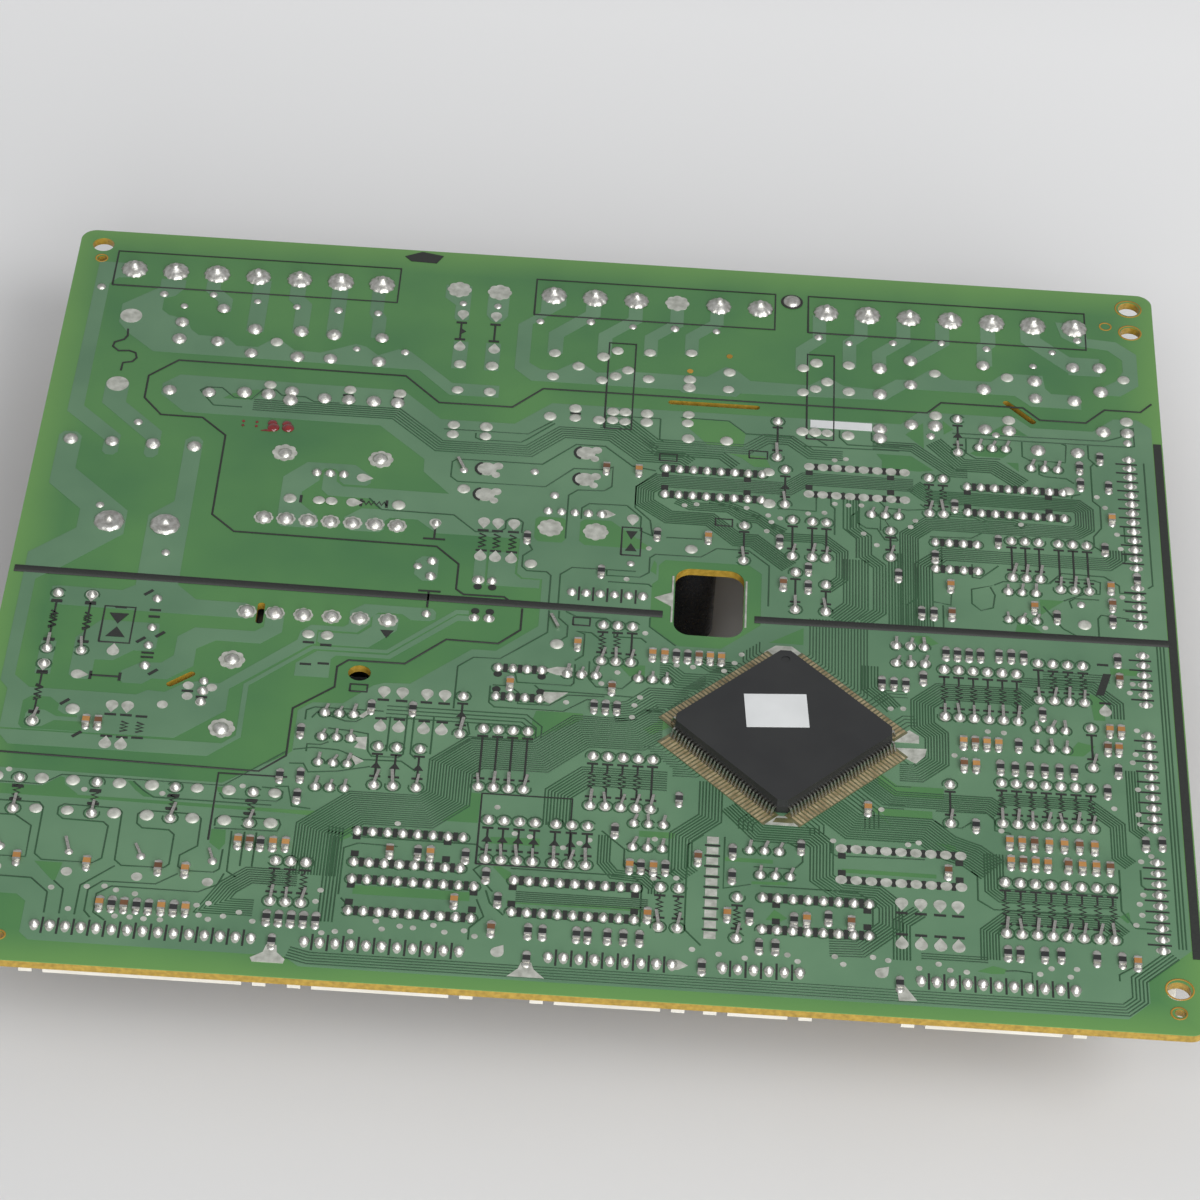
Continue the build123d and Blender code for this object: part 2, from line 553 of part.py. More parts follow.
# The transformer: a bobbin on two pin rails, its winding, and a ferrite core round and through it
core_x, core_y = TRANSFORMER_AT
leg_size = (CORE_LEG_WIDTH, CORE_HEIGHT)
bore_size = [side + 2 * CORE_CLEARANCE for side in leg_size]
barrel_size = [side + 2 * BARREL_WALL for side in bore_size]
winding_size = [side + 2 * WINDING_BUILD for side in barrel_size]
rail_high = COMPONENT_ROOM - RAIL_STANDOFF
rail_low = rail_high - RAIL_HEIGHT
rail_y = TRANSFORMER_ROW_SPACING / 2
axis_plane = Plane(origin=(core_x, core_y, WINDING_AXIS_Z), x_dir=(1, 0, 0), z_dir=(0, 1, 0))
with BuildPart() as transformer_bobbin:
    for side in (-1, 1):
        block(core_x, core_y + side * rail_y, RAIL_WIDTH, RAIL_DEPTH, rail_low, rail_high)
        flange_y = core_y + side * (FLANGE_SPACING + FLANGE_THICKNESS) / 2
        block(core_x, flange_y, FLANGE_WIDTH, FLANGE_THICKNESS, 0, rail_high)
        web_y = core_y + side * (FLANGE_SPACING / 2 + rail_y) / 2
        web_depth = rail_y - FLANGE_SPACING / 2
        block(core_x, web_y, FLANGE_WIDTH, web_depth, rail_low, rail_high)
    with BuildSketch(axis_plane):
        Rectangle(*barrel_size)
    extrude(amount=FLANGE_SPACING / 2 + FLANGE_THICKNESS, both=True)
    with BuildSketch(axis_plane):
        Rectangle(*bore_size)
    extrude(amount=FLANGE_SPACING, both=True, mode=Mode.SUBTRACT)
save(transformer_bobbin, "transformer_bobbin")

with BuildPart() as transformer_winding:
    with BuildSketch(axis_plane):
        RectangleRounded(*winding_size, WINDING_CORNER)
        Rectangle(*barrel_size, mode=Mode.SUBTRACT)
    extrude(amount=FLANGE_SPACING / 2, both=True)
save(transformer_winding, "transformer_winding")

with BuildPart() as transformer_core:
    with BuildSketch(Plane.XY.offset(WINDING_AXIS_Z - CORE_HEIGHT / 2)):
        with Locations(TRANSFORMER_AT):
            Rectangle(CORE_WIDTH, CORE_DEPTH)
            Rectangle(CORE_WIDTH - 2 * CORE_SIDE, CORE_DEPTH - 2 * CORE_BACK, mode=Mode.SUBTRACT)
    extrude(amount=CORE_HEIGHT)
    with BuildSketch(axis_plane):
        Rectangle(*leg_size)
    extrude(amount=CORE_DEPTH / 2 - CORE_BACK, both=True)
save(transformer_core, "transformer_core")

# The bulk capacitor stands beside the transformer
with BuildPart() as bulk_capacitor:
    with BuildSketch(Plane(origin=(*BULK_AT, 0), x_dir=(1, 0, 0), z_dir=(0, -1, 0))):
        with BuildLine():
            Polyline(
                (0, 0),
                (BULK_RADIUS - BULK_EDGE, 0),
                (BULK_RADIUS, BULK_EDGE),
                (BULK_RADIUS, COMPONENT_ROOM),
                (0, COMPONENT_ROOM),
                close=True,
            )
        make_face()
    revolve(axis=Axis((*BULK_AT, 0), (0, 0, 1)))
save(bulk_capacitor, "bulk_capacitor")

with BuildPart() as capacitor_eyelets:
    with BuildSketch(Plane.XY.offset(TOP)):
        with Locations(BULK_AT):
            with GridLocations(BULK_PITCH, 0, 2, 1):
                RegularPolygon(BULK_EYELET_RADIUS, 2 * SOLDER_SIDES)
    extrude(amount=BULK_EYELET_HEIGHT, taper=35)
save(capacitor_eyelets, "capacitor_eyelets")

# Radial electrolytics stand close against the board
with BuildPart() as electrolytic_capacitors:
    for can_x, can_y, radius, height in ELECTROLYTICS:
        with Locations((can_x, can_y, COMPONENT_ROOM - height / 2)):
            Cylinder(radius, height)
save(electrolytic_capacitors, "electrolytic_capacitors")

# Disc capacitors on edge, each on two leads
with BuildPart() as disc_capacitors:
    for disc_x, disc_y, _, radius in DISC_CAPACITORS:
        disc_z = COMPONENT_ROOM - DISC_GAP - radius
        with BuildSketch(Plane(origin=(disc_x, disc_y, disc_z), x_dir=(0, 1, 0), z_dir=(1, 0, 0))):
            RegularPolygon(radius, DISC_SIDES)
        extrude(amount=DISC_THICKNESS / 2, both=True)
save(disc_capacitors, "disc_capacitors")
with BuildPart() as disc_capacitor_leads:
    for disc_x, disc_y, half_pitch, radius in DISC_CAPACITORS:
        rim = (radius**2 - (half_pitch - AXIAL_LEAD / 2) ** 2) ** 0.5
        rim_z = COMPONENT_ROOM - DISC_GAP - radius + rim
        disc_points = [(disc_x, disc_y - half_pitch), (disc_x, disc_y + half_pitch)]
        pins(disc_points, AXIAL_LEAD, rim_z, COMPONENT_ROOM)
save(disc_capacitor_leads, "disc_capacitor_leads")

# Bridge rectifier: a flat block with one bevelled corner, on four flat legs
bridge_x, bridge_y = BRIDGE_AT
bridge_high = COMPONENT_ROOM - BRIDGE_STANDOFF
with BuildPart() as bridge_rectifier:
    with BuildSketch(Plane(origin=(bridge_x, bridge_y, 0), x_dir=(1, 0, 0), z_dir=(0, -1, 0))):
        with BuildLine():
            Polyline(
                (-BRIDGE_WIDTH / 2, bridge_high - BRIDGE_HEIGHT),
                (BRIDGE_WIDTH / 2 - BRIDGE_THICKNESS, bridge_high - BRIDGE_HEIGHT),
                (BRIDGE_WIDTH / 2, bridge_high - BRIDGE_HEIGHT + BRIDGE_THICKNESS),
                (BRIDGE_WIDTH / 2, bridge_high),
                (-BRIDGE_WIDTH / 2, bridge_high),
                close=True,
            )
        make_face()
        with Locations((0, bridge_high - BRIDGE_HEIGHT / 2)):
            Circle(BRIDGE_SCREW_RADIUS, mode=Mode.SUBTRACT)
    extrude(amount=BRIDGE_THICKNESS / 2, both=True)
save(bridge_rectifier, "bridge_rectifier")
bridge_points = [(bridge_x + (i - 1.5) * BRIDGE_PITCH, bridge_y) for i in range(4)]
with BuildPart() as bridge_rectifier_legs:
    pins(bridge_points, BRIDGE_LEG, bridge_high, COMPONENT_ROOM)
save(bridge_rectifier_legs, "bridge_rectifier_legs")


def heat_sink(at, turn):
    """A finned plate along X with its fins towards +Y, turned about Z at its place."""
    fin_step = (SINK_LENGTH - SINK_FIN_THICKNESS) / (SINK_FINS - 1)
    with BuildPart() as sink:
        with BuildSketch(Plane(Location((*at, COMPONENT_ROOM - SINK_STANDOFF), (0, 0, turn)))):
            Rectangle(SINK_LENGTH, SINK_PLATE)
            with Locations((0, (SINK_PLATE + SINK_FIN) / 2)):
                with GridLocations(fin_step, 0, SINK_FINS, 1):
                    Rectangle(SINK_FIN_THICKNESS, SINK_FIN)
        extrude(amount=-SINK_HEIGHT)
    return sink


save(heat_sink(SWITCH_SINK_AT, -90), "switch_heat_sink")
save(heat_sink(RECTIFIER_SINK_AT, 0), "rectifier_heat_sink")
sink_pin_points = [
    (SWITCH_SINK_AT[0], SWITCH_SINK_AT[1] - SINK_PIN_SPACING / 2),
    (SWITCH_SINK_AT[0], SWITCH_SINK_AT[1] + SINK_PIN_SPACING / 2),
    (RECTIFIER_SINK_AT[0] - SINK_PIN_SPACING / 2, RECTIFIER_SINK_AT[1]),
    (RECTIFIER_SINK_AT[0] + SINK_PIN_SPACING / 2, RECTIFIER_SINK_AT[1]),
]
with BuildPart() as heat_sink_pins:
    pins(sink_pin_points, SINK_PIN_SIZE, COMPONENT_ROOM - SINK_STANDOFF, COMPONENT_ROOM)
save(heat_sink_pins, "heat_sink_pins")


def power_pack(width, height, at, turn):
    """A moulded power package hanging on edge, its front bevelled, turned about Z at its place."""
    top = Plane(Location((*at, COMPONENT_ROOM - POWER_PACK_STANDOFF), (0, 0, turn)))
    with BuildPart() as pack:
        with BuildSketch(top) as outline:
            Rectangle(width, POWER_PACK_THICKNESS)
            chamfer(outline.vertices().group_by(Axis.Y)[0], POWER_PACK_BEVEL)
        extrude(amount=-height)
    return pack


# Each power package lies with its back against the plate of its heat sink
back_offset = (SINK_PLATE + POWER_PACK_THICKNESS) / 2
switch_at = (SWITCH_SINK_AT[0] - back_offset, SWITCH_SINK_AT[1])
rectifier_at = (RECTIFIER_SINK_AT[0], RECTIFIER_SINK_AT[1] - back_offset)
save(power_pack(SWITCH_WIDTH, SWITCH_HEIGHT, switch_at, -90), "switching_controller")
save(power_pack(POWER_PACK_WIDTH, POWER_PACK_HEIGHT, rectifier_at, 0), "rectifier_diode")
save(power_pack(POWER_PACK_WIDTH, POWER_PACK_HEIGHT, REGULATOR_AT, 0), "voltage_regulator")

pack_lead_points = SWITCH_LEADS + RECTIFIER_LEADS
pack_lead_points += [(REGULATOR_AT[0] + (i - 2) * REGULATOR_PITCH, REGULATOR_AT[1]) for i in range(5)]
with BuildPart() as power_package_leads:
    pins(pack_lead_points, POWER_PACK_LEAD, COMPONENT_ROOM - POWER_PACK_STANDOFF, COMPONENT_ROOM)
save(power_package_leads, "power_package_leads")

# Dual in-line chips: bevelled bodies with shouldered legs beside them
dual_high = COMPONENT_ROOM - DUAL_STANDOFF
with BuildPart() as dual_inline_chips:
    for first, back, count in DUAL_CHIPS:
        middle = (first + (count - 1) * DUAL_PITCH / 2, back - DUAL_ROW_SPACING / 2)
        with BuildSketch(Plane(origin=(*middle, dual_high - DUAL_BODY_HEIGHT / 2))) as dual_outline:
            Rectangle(count * DUAL_PITCH - DUAL_CHAMFER, DUAL_BODY_WIDTH)
        extrude(amount=DUAL_BODY_HEIGHT / 2, taper=DUAL_DRAFT)
        extrude(dual_outline.sketch, amount=-DUAL_BODY_HEIGHT / 2, taper=DUAL_DRAFT)
save(dual_inline_chips, "dual_inline_chips")

shoulder = DUAL_ROW_SPACING / 2 + DUAL_LEG / 2 - DUAL_BODY_WIDTH / 2
with BuildPart() as dual_inline_legs:
    with BuildSketch(Plane.XY.offset(dual_high - DUAL_BODY_HEIGHT / 2)):
        for first, back, count in DUAL_CHIPS:
            middle = (first + (count - 1) * DUAL_PITCH / 2, back - DUAL_ROW_SPACING / 2)
            with Locations(middle):
                with GridLocations(DUAL_PITCH, DUAL_BODY_WIDTH + shoulder, count, 2):
                    Rectangle(DUAL_LEG, shoulder)
    extrude(amount=DUAL_BODY_HEIGHT / 2 + DUAL_STANDOFF)
save(dual_inline_legs, "dual_inline_legs")

# The optocoupler bridges the isolation gap on widely spread legs
with BuildPart() as optocoupler:
    with BuildSketch(Plane(origin=(*COUPLER_AT, dual_high - DUAL_BODY_HEIGHT / 2))) as coupler_outline:
        Rectangle(COUPLER_WIDTH, COUPLER_DEPTH)
    extrude(amount=DUAL_BODY_HEIGHT / 2, taper=DUAL_DRAFT)
    extrude(coupler_outline.sketch, amount=-DUAL_BODY_HEIGHT / 2, taper=DUAL_DRAFT)
save(optocoupler, "optocoupler")
coupler_reach = (COUPLER_ROW_SPACING + DUAL_LEG - COUPLER_DEPTH) / 2
with BuildPart() as optocoupler_legs:
    coupler_middle_z = dual_high - DUAL_BODY_HEIGHT / 2
    with BuildSketch(Plane.XY.offset(coupler_middle_z)):
        with Locations(COUPLER_AT):
            with GridLocations(COUPLER_PITCH, COUPLER_DEPTH + coupler_reach, 2, 2):
                Rectangle(DUAL_LEG, coupler_reach)
    extrude(amount=DUAL_LEG)
    with BuildSketch(Plane.XY.offset(coupler_middle_z)):
        with Locations(COUPLER_AT):
            with GridLocations(COUPLER_PITCH, COUPLER_ROW_SPACING, 2, 2):
                Rectangle(DUAL_LEG, DUAL_LEG)
    extrude(amount=COMPONENT_ROOM - coupler_middle_z)
save(optocoupler_legs, "optocoupler_legs")

# Small transistors: D-shaped bodies on three spread leads
with BuildPart() as small_transistors:
    with BuildSketch(Plane.XY.offset(COMPONENT_ROOM - TRANSISTOR_STANDOFF)):
        with Locations(*TRANSISTORS):
            RegularPolygon(TRANSISTOR_RADIUS, TRANSISTOR_SIDES)
        with Locations(*[(x, y - TRANSISTOR_FLAT - TRANSISTOR_RADIUS / 2) for x, y in TRANSISTORS]):
            Rectangle(2 * TRANSISTOR_RADIUS, TRANSISTOR_RADIUS, mode=Mode.SUBTRACT)
    extrude(amount=-TRANSISTOR_HEIGHT)
save(small_transistors, "small_transistors")
with BuildPart() as transistor_leads:
    transistor_points = [(x + i * TRANSISTOR_PITCH, y) for x, y in TRANSISTORS for i in (-1, 0, 1)]
    pins(transistor_points, TRANSISTOR_LEAD, COMPONENT_ROOM - TRANSISTOR_STANDOFF, COMPONENT_ROOM)
save(transistor_leads, "transistor_leads")


def axial_body(x, middle_y, length, radius, sides):
    """One body that lies along Y against the board."""
    axis_start = (x, middle_y, COMPONENT_ROOM - radius)
    with BuildSketch(Plane(origin=axis_start, x_dir=(1, 0, 0), z_dir=(0, 1, 0))) as end:
        RegularPolygon(radius, sides, major_radius=False, rotation=90 - 180 / sides)
    extrude(end.sketch, amount=length / 2, both=True)


def bent_leads(rows, inner_length, low):
    """A wire beyond each end of the inner length of every part, then up into the board."""
    places = axial_places(rows)
    with BuildSketch(Plane.XY.offset(low)) as runs:
        for x, back, front in places:
            run = (back - front - inner_length + AXIAL_LEAD) / 2
            with Locations((x, (back + front) / 2)):
                with GridLocations(0, inner_length + run, 1, 2):
                    Rectangle(AXIAL_LEAD, run)
    with BuildSketch(Plane.XY.offset(low)) as posts:
        with Locations(*[(x, end) for x, back, front in places for end in (back, front)]):
            Rectangle(AXIAL_LEAD, AXIAL_LEAD)
    extrude(runs.sketch, amount=AXIAL_LEAD)
    extrude(posts.sketch, amount=COMPONENT_ROOM - low)


for node, (rows, length, radius, sides) in AXIAL_PARTS.items():
    with BuildPart() as axial_part:
        for x, back, front in axial_places(rows):
            axial_body(x, (back + front) / 2, length, radius, sides)
    save(axial_part, node)
with BuildPart() as axial_leads:
    for rows, length, radius, sides in AXIAL_PARTS.values():
        bent_leads(rows, length, COMPONENT_ROOM - radius - AXIAL_LEAD / 2)
save(axial_leads, "axial_leads")

# Jumper wires: bare links bent into a flat U
with BuildPart() as jumper_wires:
    bent_leads(JUMPER_ROWS, 0, COMPONENT_ROOM - JUMPER_DROP)
save(jumper_wires, "jumper_wires")

# Transformer pins
transformer_rows = [
    (core_y - rail_y, PRIMARY_PITCH, PRIMARY_PINS),
    (core_y + rail_y, SECONDARY_PITCH, SECONDARY_PINS),
]
transformer_points = [
    (core_x + (i - (count - 1) / 2) * pitch, row_y)
    for row_y, pitch, count in transformer_rows
    for i in range(count)
]
with BuildPart() as transformer_pins:
    pins(transformer_points, RELAY_PIN_SIZE, rail_high, COMPONENT_ROOM)
save(transformer_pins, "transformer_pins")
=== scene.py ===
"""Dresses the appliance control board: copper under green mask, ink, solder, chip parts and finishes.

Places on the board are in millimetres from its middle, +X to the right and +Y to the power connectors,
and heights are in millimetres above the table. Meshes are made in metres.
"""

import math
import random

import bmesh
import bpy
from mathutils import Matrix, Vector


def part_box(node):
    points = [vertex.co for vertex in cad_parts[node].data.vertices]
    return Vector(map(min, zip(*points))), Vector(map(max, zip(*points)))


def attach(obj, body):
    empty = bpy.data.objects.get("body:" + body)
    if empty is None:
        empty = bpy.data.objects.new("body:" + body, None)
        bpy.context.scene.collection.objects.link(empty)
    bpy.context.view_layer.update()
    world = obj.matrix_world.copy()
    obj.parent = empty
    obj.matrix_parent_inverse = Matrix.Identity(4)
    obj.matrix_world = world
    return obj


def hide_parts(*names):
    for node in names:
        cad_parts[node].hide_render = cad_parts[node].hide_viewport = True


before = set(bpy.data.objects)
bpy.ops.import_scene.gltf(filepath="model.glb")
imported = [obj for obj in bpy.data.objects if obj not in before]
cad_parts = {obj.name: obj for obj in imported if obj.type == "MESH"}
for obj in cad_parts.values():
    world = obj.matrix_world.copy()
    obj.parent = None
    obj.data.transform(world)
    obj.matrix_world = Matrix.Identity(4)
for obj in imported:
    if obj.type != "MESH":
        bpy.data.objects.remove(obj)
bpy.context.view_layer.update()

MM = 0.001
BOARD_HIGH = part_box("circuit_board")[1] / MM
TOP = BOARD_HIGH[2]

# Heights above the board, each layer over the last, and a hair between neighbours that may overlap
COPPER = 0.04
BARE = 0.06
GAP = 0.08
INK = 0.1
PAD = 0.12
HAIR = 0.001
LAYERS = 12
# How deep strips reach into the board
SUNK = 0.02


# ---------------------------------------------------------------- colours and nodes


def linear(code, alpha=1.0):
    """A linear colour from an sRGB hex code such as "6B9A72"."""
    channels = [int(code[i:i + 2], 16) / 255 for i in (0, 2, 4)]
    return tuple(c / 12.92 if c <= 0.04045 else ((c + 0.055) / 1.055) ** 2.4 for c in channels) + (alpha,)


def add_node(tree, kind, inputs=None, **settings):
    """Adds a node. inputs gives sockets, by name or number, a value or another node's output."""
    node = tree.nodes.new(kind)
    for name, value in settings.items():
        setattr(node, name, value)
    for socket, value in (inputs or {}).items():
        if isinstance(value, bpy.types.NodeSocket):
            tree.links.new(value, node.inputs[socket])
        else:
            node.inputs[socket].default_value = value
    return node


def calculated(tree, operation, first, second):
    """One value made from two by a Math node."""
    return add_node(tree, "ShaderNodeMath", {0: first, 1: second}, operation=operation).outputs[0]


def start_material(name):
    """A material with an empty tree, and its object-space position."""
    material = bpy.data.materials.new(name)
    material.use_nodes = True
    material.node_tree.nodes.clear()
    place = add_node(material.node_tree, "ShaderNodeTexCoord").outputs["Object"]
    return material, material.node_tree, place


def finish_material(tree, colour, roughness, normal=None, **fixed):
    """Ends a tree in one Principled shader. fixed gives constant sockets, with _ for a space."""
    inputs = {"Base Color": colour, "Roughness": roughness}
    if normal is not None:
        inputs["Normal"] = normal
    for name, value in fixed.items():
        inputs[name.replace("_", " ")] = value
    shader = add_node(tree, "ShaderNodeBsdfPrincipled", inputs)
    add_node(tree, "ShaderNodeOutputMaterial", {"Surface": shader.outputs[0]})


def noise(tree, place, size_mm, detail=3.0):
    """Noise whose blotches are about size_mm across."""
    inputs = {"Vector": place, "Scale": 1 / (size_mm * MM), "Detail": detail}
    return add_node(tree, "ShaderNodeTexNoise", inputs).outputs["Fac"]


def blend(tree, factor, dark, light, low=0.3, high=0.7):
    """Blends two colours by a factor between two of its values."""
    ramp = add_node(tree, "ShaderNodeValToRGB", {"Fac": factor})
    ramp.color_ramp.elements[0].position = low
    ramp.color_ramp.elements[0].color = dark
    ramp.color_ramp.elements[1].position = high
    ramp.color_ramp.elements[1].color = light
    return ramp.outputs["Color"]


def spread(tree, factor, low, high):
    """Maps 0..1 to a range."""
    inputs = {"Value": factor, "To Min": low, "To Max": high}
    return add_node(tree, "ShaderNodeMapRange", inputs).outputs["Result"]


def bump(tree, height, depth_mm):
    """Small relief whose full height is depth_mm."""
    inputs = {"Height": height, "Distance": depth_mm * MM, "Strength": 1.0}
    return add_node(tree, "ShaderNodeBump", inputs).outputs["Normal"]


# ---------------------------------------------------------------- materials

# The mask's clear skin, and how far down the sawn edge its green reaches
MASK_SKIN = {"Coat_Weight": 0.2, "Coat_Roughness": 0.3}
MASKED_DEPTH = 0.12


def laminate_material():
    """Phenolic paper laminate under green mask: yellow-green face, amber sawn edges and underside."""
    material, tree, place = start_material("masked_laminate")
    height = add_node(tree, "ShaderNodeSeparateXYZ", {"Vector": place}).outputs["Z"]
    face_low = (TOP - MASKED_DEPTH) * MM
    on_face = calculated(tree, "GREATER_THAN", height, face_low)
    middle_green = blend(tree, noise(tree, place, 30), linear("3D7142"), linear("518448"))
    # The mask looks yellower over the last few millimetres, where light comes through from the sawn edge.
    sides = add_node(tree, "ShaderNodeVectorMath", {0: place}, operation="ABSOLUTE").outputs[0]
    to_share = (1 / (BOARD_HIGH[0] * MM), 1 / (BOARD_HIGH[1] * MM), 0)
    share = add_node(tree, "ShaderNodeVectorMath", {0: sides, 1: to_share}, operation="MULTIPLY")
    out = add_node(tree, "ShaderNodeSeparateXYZ", {"Vector": share.outputs[0]})
    nearest = calculated(tree, "MAXIMUM", out.outputs[0], out.outputs[1])
    limits = {"Value": nearest, "From Min": 0.925, "From Max": 1.0, "To Min": 0.0, "To Max": 0.65}
    rim = add_node(tree, "ShaderNodeMapRange", limits).outputs["Result"]
    greens = {0: rim, 6: middle_green, 7: linear("6E9C50")}
    green = add_node(tree, "ShaderNodeMix", greens, data_type="RGBA").outputs[2]
    fibre = noise(tree, place, 0.8)
    amber = blend(tree, fibre, linear("8F7424"), linear("B39238"))
    mix = add_node(tree, "ShaderNodeMix", {0: on_face, 6: amber, 7: green}, data_type="RGBA")
    rough = spread(tree, fibre, 0.32, 0.48)
    finish_material(tree, mix.outputs[2], rough, bump(tree, fibre, 0.01), **MASK_SKIN)
    return material


def two_tone_material(name, patch_mm, dark, light, low, high, grain_mm=0, depth_mm=0, detail=3.0, **fixed):
    """Two colours in patches. Roughness and relief follow the grain, or the patches if it has no grain."""
    material, tree, place = start_material(name)
    patch = noise(tree, place, patch_mm, detail)
    grain = noise(tree, place, grain_mm) if grain_mm else patch
    relief = bump(tree, grain, depth_mm) if depth_mm else None
    colour = blend(tree, patch, linear(dark), linear(light))
    finish_material(tree, colour, spread(tree, grain, low, high), relief, **fixed)
    return material


def moulding_material(name, dark, light, rough, grain_mm=0.25, depth_mm=0.01):
    """Moulded epoxy, thermoplastic or paper: nearly one colour with a fine sparked texture."""
    return two_tone_material(name, 9, dark, light, rough - 0.07, rough + 0.07, grain_mm, depth_mm)


def solder_material():
    """Wave-soldered tin: bright metal with a finely crazed, rippled skin."""
    material, tree, place = start_material("wave_solder")
    ripple = noise(tree, place, 0.9, 4.0)
    grain = noise(tree, place, 0.18)
    colour = blend(tree, ripple, linear("A9A7A0"), linear("D6D5D0"))
    finish_material(tree, colour, spread(tree, grain, 0.3, 0.5), bump(tree, ripple, 0.12), Metallic=1.0)
    return material


def aluminium_material():
    """Extruded aluminium heat sink with die lines along its height."""
    material, tree, place = start_material("extruded_aluminium")
    stretch = add_node(tree, "ShaderNodeMapping", {"Vector": place, "Scale": (1, 1, 0.02)}).outputs[0]
    lines = noise(tree, stretch, 0.4)
    colour = blend(tree, lines, linear("A9ABAD"), linear("D2D4D6"))
    finish_material(tree, colour, spread(tree, lines, 0.28, 0.5), bump(tree, lines, 0.02), Metallic=1.0)
    return material


def tape_material():
    """Polyester winding tape: glossy amber wraps, a millimetre or so apart."""
    material, tree, place = start_material("winding_tape")
    wave = {"Vector": place, "Scale": 60, "Distortion": 0.6}
    wraps = add_node(tree, "ShaderNodeTexWave", wave, bands_direction="Y").outputs["Fac"]
    colour = blend(tree, wraps, linear("B98618"), linear("E0B03C"))
    finish_material(tree, colour, spread(tree, wraps, 0.16, 0.28), bump(tree, wraps, 0.06), Coat_Weight=0.4)
    return material


laminate = laminate_material()
# Green mask over copper foil is paler and bluer. Over etched gaps it is a darker green: its own colour,
# deepened with painted shade of the narrow gaps.
masked_copper = two_tone_material(
    "masked_copper", 22, "547A5B", "648968", 0.34, 0.46, 0.5, 0.006, **MASK_SKIN
)
# Etched-gap colour: partly the mask's own darker green, partly painted shade that falls in the narrow gaps.
gap_mask_and_painted_shade = two_tone_material("mask_in_gaps", 12, "1F4728", "285432", 0.36, 0.46, **MASK_SKIN)
# Screen-printed epoxy ink is matt and a little thin.
ink = two_tone_material("black_ink", 0.35, "1E201D", "2B2E2A", 0.5, 0.7)
solder = solder_material()
# Thin tin on a bare pad is pale, nearly matt metal. Between fine-pitch pads it has patches of flux.
tinned_pad = two_tone_material(
    "tinned_pad", 1.4, "A6A89E", "D0D1C8", 0.42, 0.6, depth_mm=0.05, detail=4.0, Metallic=0.4
)
fluxed_pad = two_tone_material(
    "fluxed_pad", 1.4, "8C7A58", "C2B28E", 0.42, 0.6, depth_mm=0.05, detail=4.0, Metallic=0.4
)
# Tinned copper wire and stamped pins are bright satin metal with drawing marks.
tinned_wire = two_tone_material(
    "tinned_wire", 0.3, "A6A49C", "CFCDC7", 0.22, 0.38, depth_mm=0.01, Metallic=1.0
)
# Dried rosin is a thin brown film over the mask.
rosin = two_tone_material(
    "rosin_film", 1.1, "4F5137", "6E6A46", 0.2, 0.4, detail=4.0, Coat_Weight=0.5, Coat_Roughness=0.15
)
# Locking lacquer is glossy and thick.
lacquer = two_tone_material(
    "red_lacquer", 0.8, "560608", "860E0E", 0.12, 0.22, Coat_Weight=0.6, Coat_Roughness=0.08
)
aluminium = aluminium_material()
winding_tape = tape_material()
chip_epoxy = moulding_material("moulded_epoxy", "202122", "282929", 0.45)
black_sleeve = moulding_material("black_pvc_sleeve", "141414", "1E1E20", 0.28, 0.5)
relay_case = moulding_material("black_relay_case", "1A1B1D", "242527", 0.36)
nylon = moulding_material("natural_nylon", "D9D6CB", "E8E5DB", 0.42)
ferrite = moulding_material("sintered_ferrite", "26272A", "3A3B3E", 0.6, 0.4, 0.03)
dipped_ceramic = moulding_material("dipped_blue_epoxy", "1F4E8C", "2C63A6", 0.3, 0.8)
resistor_lacquer = moulding_material("beige_lacquer", "C3A274", "D6B98E", 0.38, 0.6)
resistor_glaze = moulding_material("black_overglaze", "1B1C1D", "2A2B2B", 0.25, 0.3)
capacitor_tan = moulding_material("tan_dielectric", "9C6A35", "BE8C50", 0.35, 0.3)
capacitor_brown = moulding_material("brown_dielectric", "5E3D26", "7B5434", 0.35, 0.3)
amber_edge = moulding_material("bare_laminate_rim", "96701F", "B98C33", 0.5, 0.3)
label_paper = moulding_material("matt_label_paper", "D4D6D6", "E2E4E4", 0.6, 0.3)


# ---------------------------------------------------------------- meshes


def linked(name, data):
    """A new object of the scene that holds the data."""
    thing = bpy.data.objects.new(name, data)
    bpy.context.collection.objects.link(thing)
    return thing


def mesh_object(name, vertices, faces, material, smooth=False):
    """An object whose mesh is given in millimetres."""
    mesh = bpy.data.meshes.new(name)
    mesh.from_pydata([Vector(v) * MM for v in vertices], [], faces)
    if smooth:
        mesh.shade_smooth()
    mesh.materials.append(material)
    return linked(name, mesh)


def plates(name, outlines, height, material):
    """Flat plates on the board with upright rims, from outlines of (x, y) points."""
    work = bmesh.new()
    for number, outline in enumerate(outlines):
        top = TOP + height + HAIR * (number % LAYERS)
        low = [work.verts.new((x * MM, y * MM, TOP * MM)) for x, y in outline]
        high = [work.verts.new((x * MM, y * MM, top * MM)) for x, y in outline]
        work.faces.new(high)
        for i in range(len(outline)):
            j = (i + 1) % len(outline)
            work.faces.new((low[i], low[j], high[j], high[i]))
    bmesh.ops.recalc_face_normals(work, faces=work.faces)
    bmesh.ops.triangulate(work, faces=[f for f in work.faces if len(f.verts) > 4], ngon_method="EAR_CLIP")
    mesh = bpy.data.meshes.new(name)
    work.to_mesh(mesh)
    work.free()
    mesh.materials.append(material)
    return linked(name, mesh)


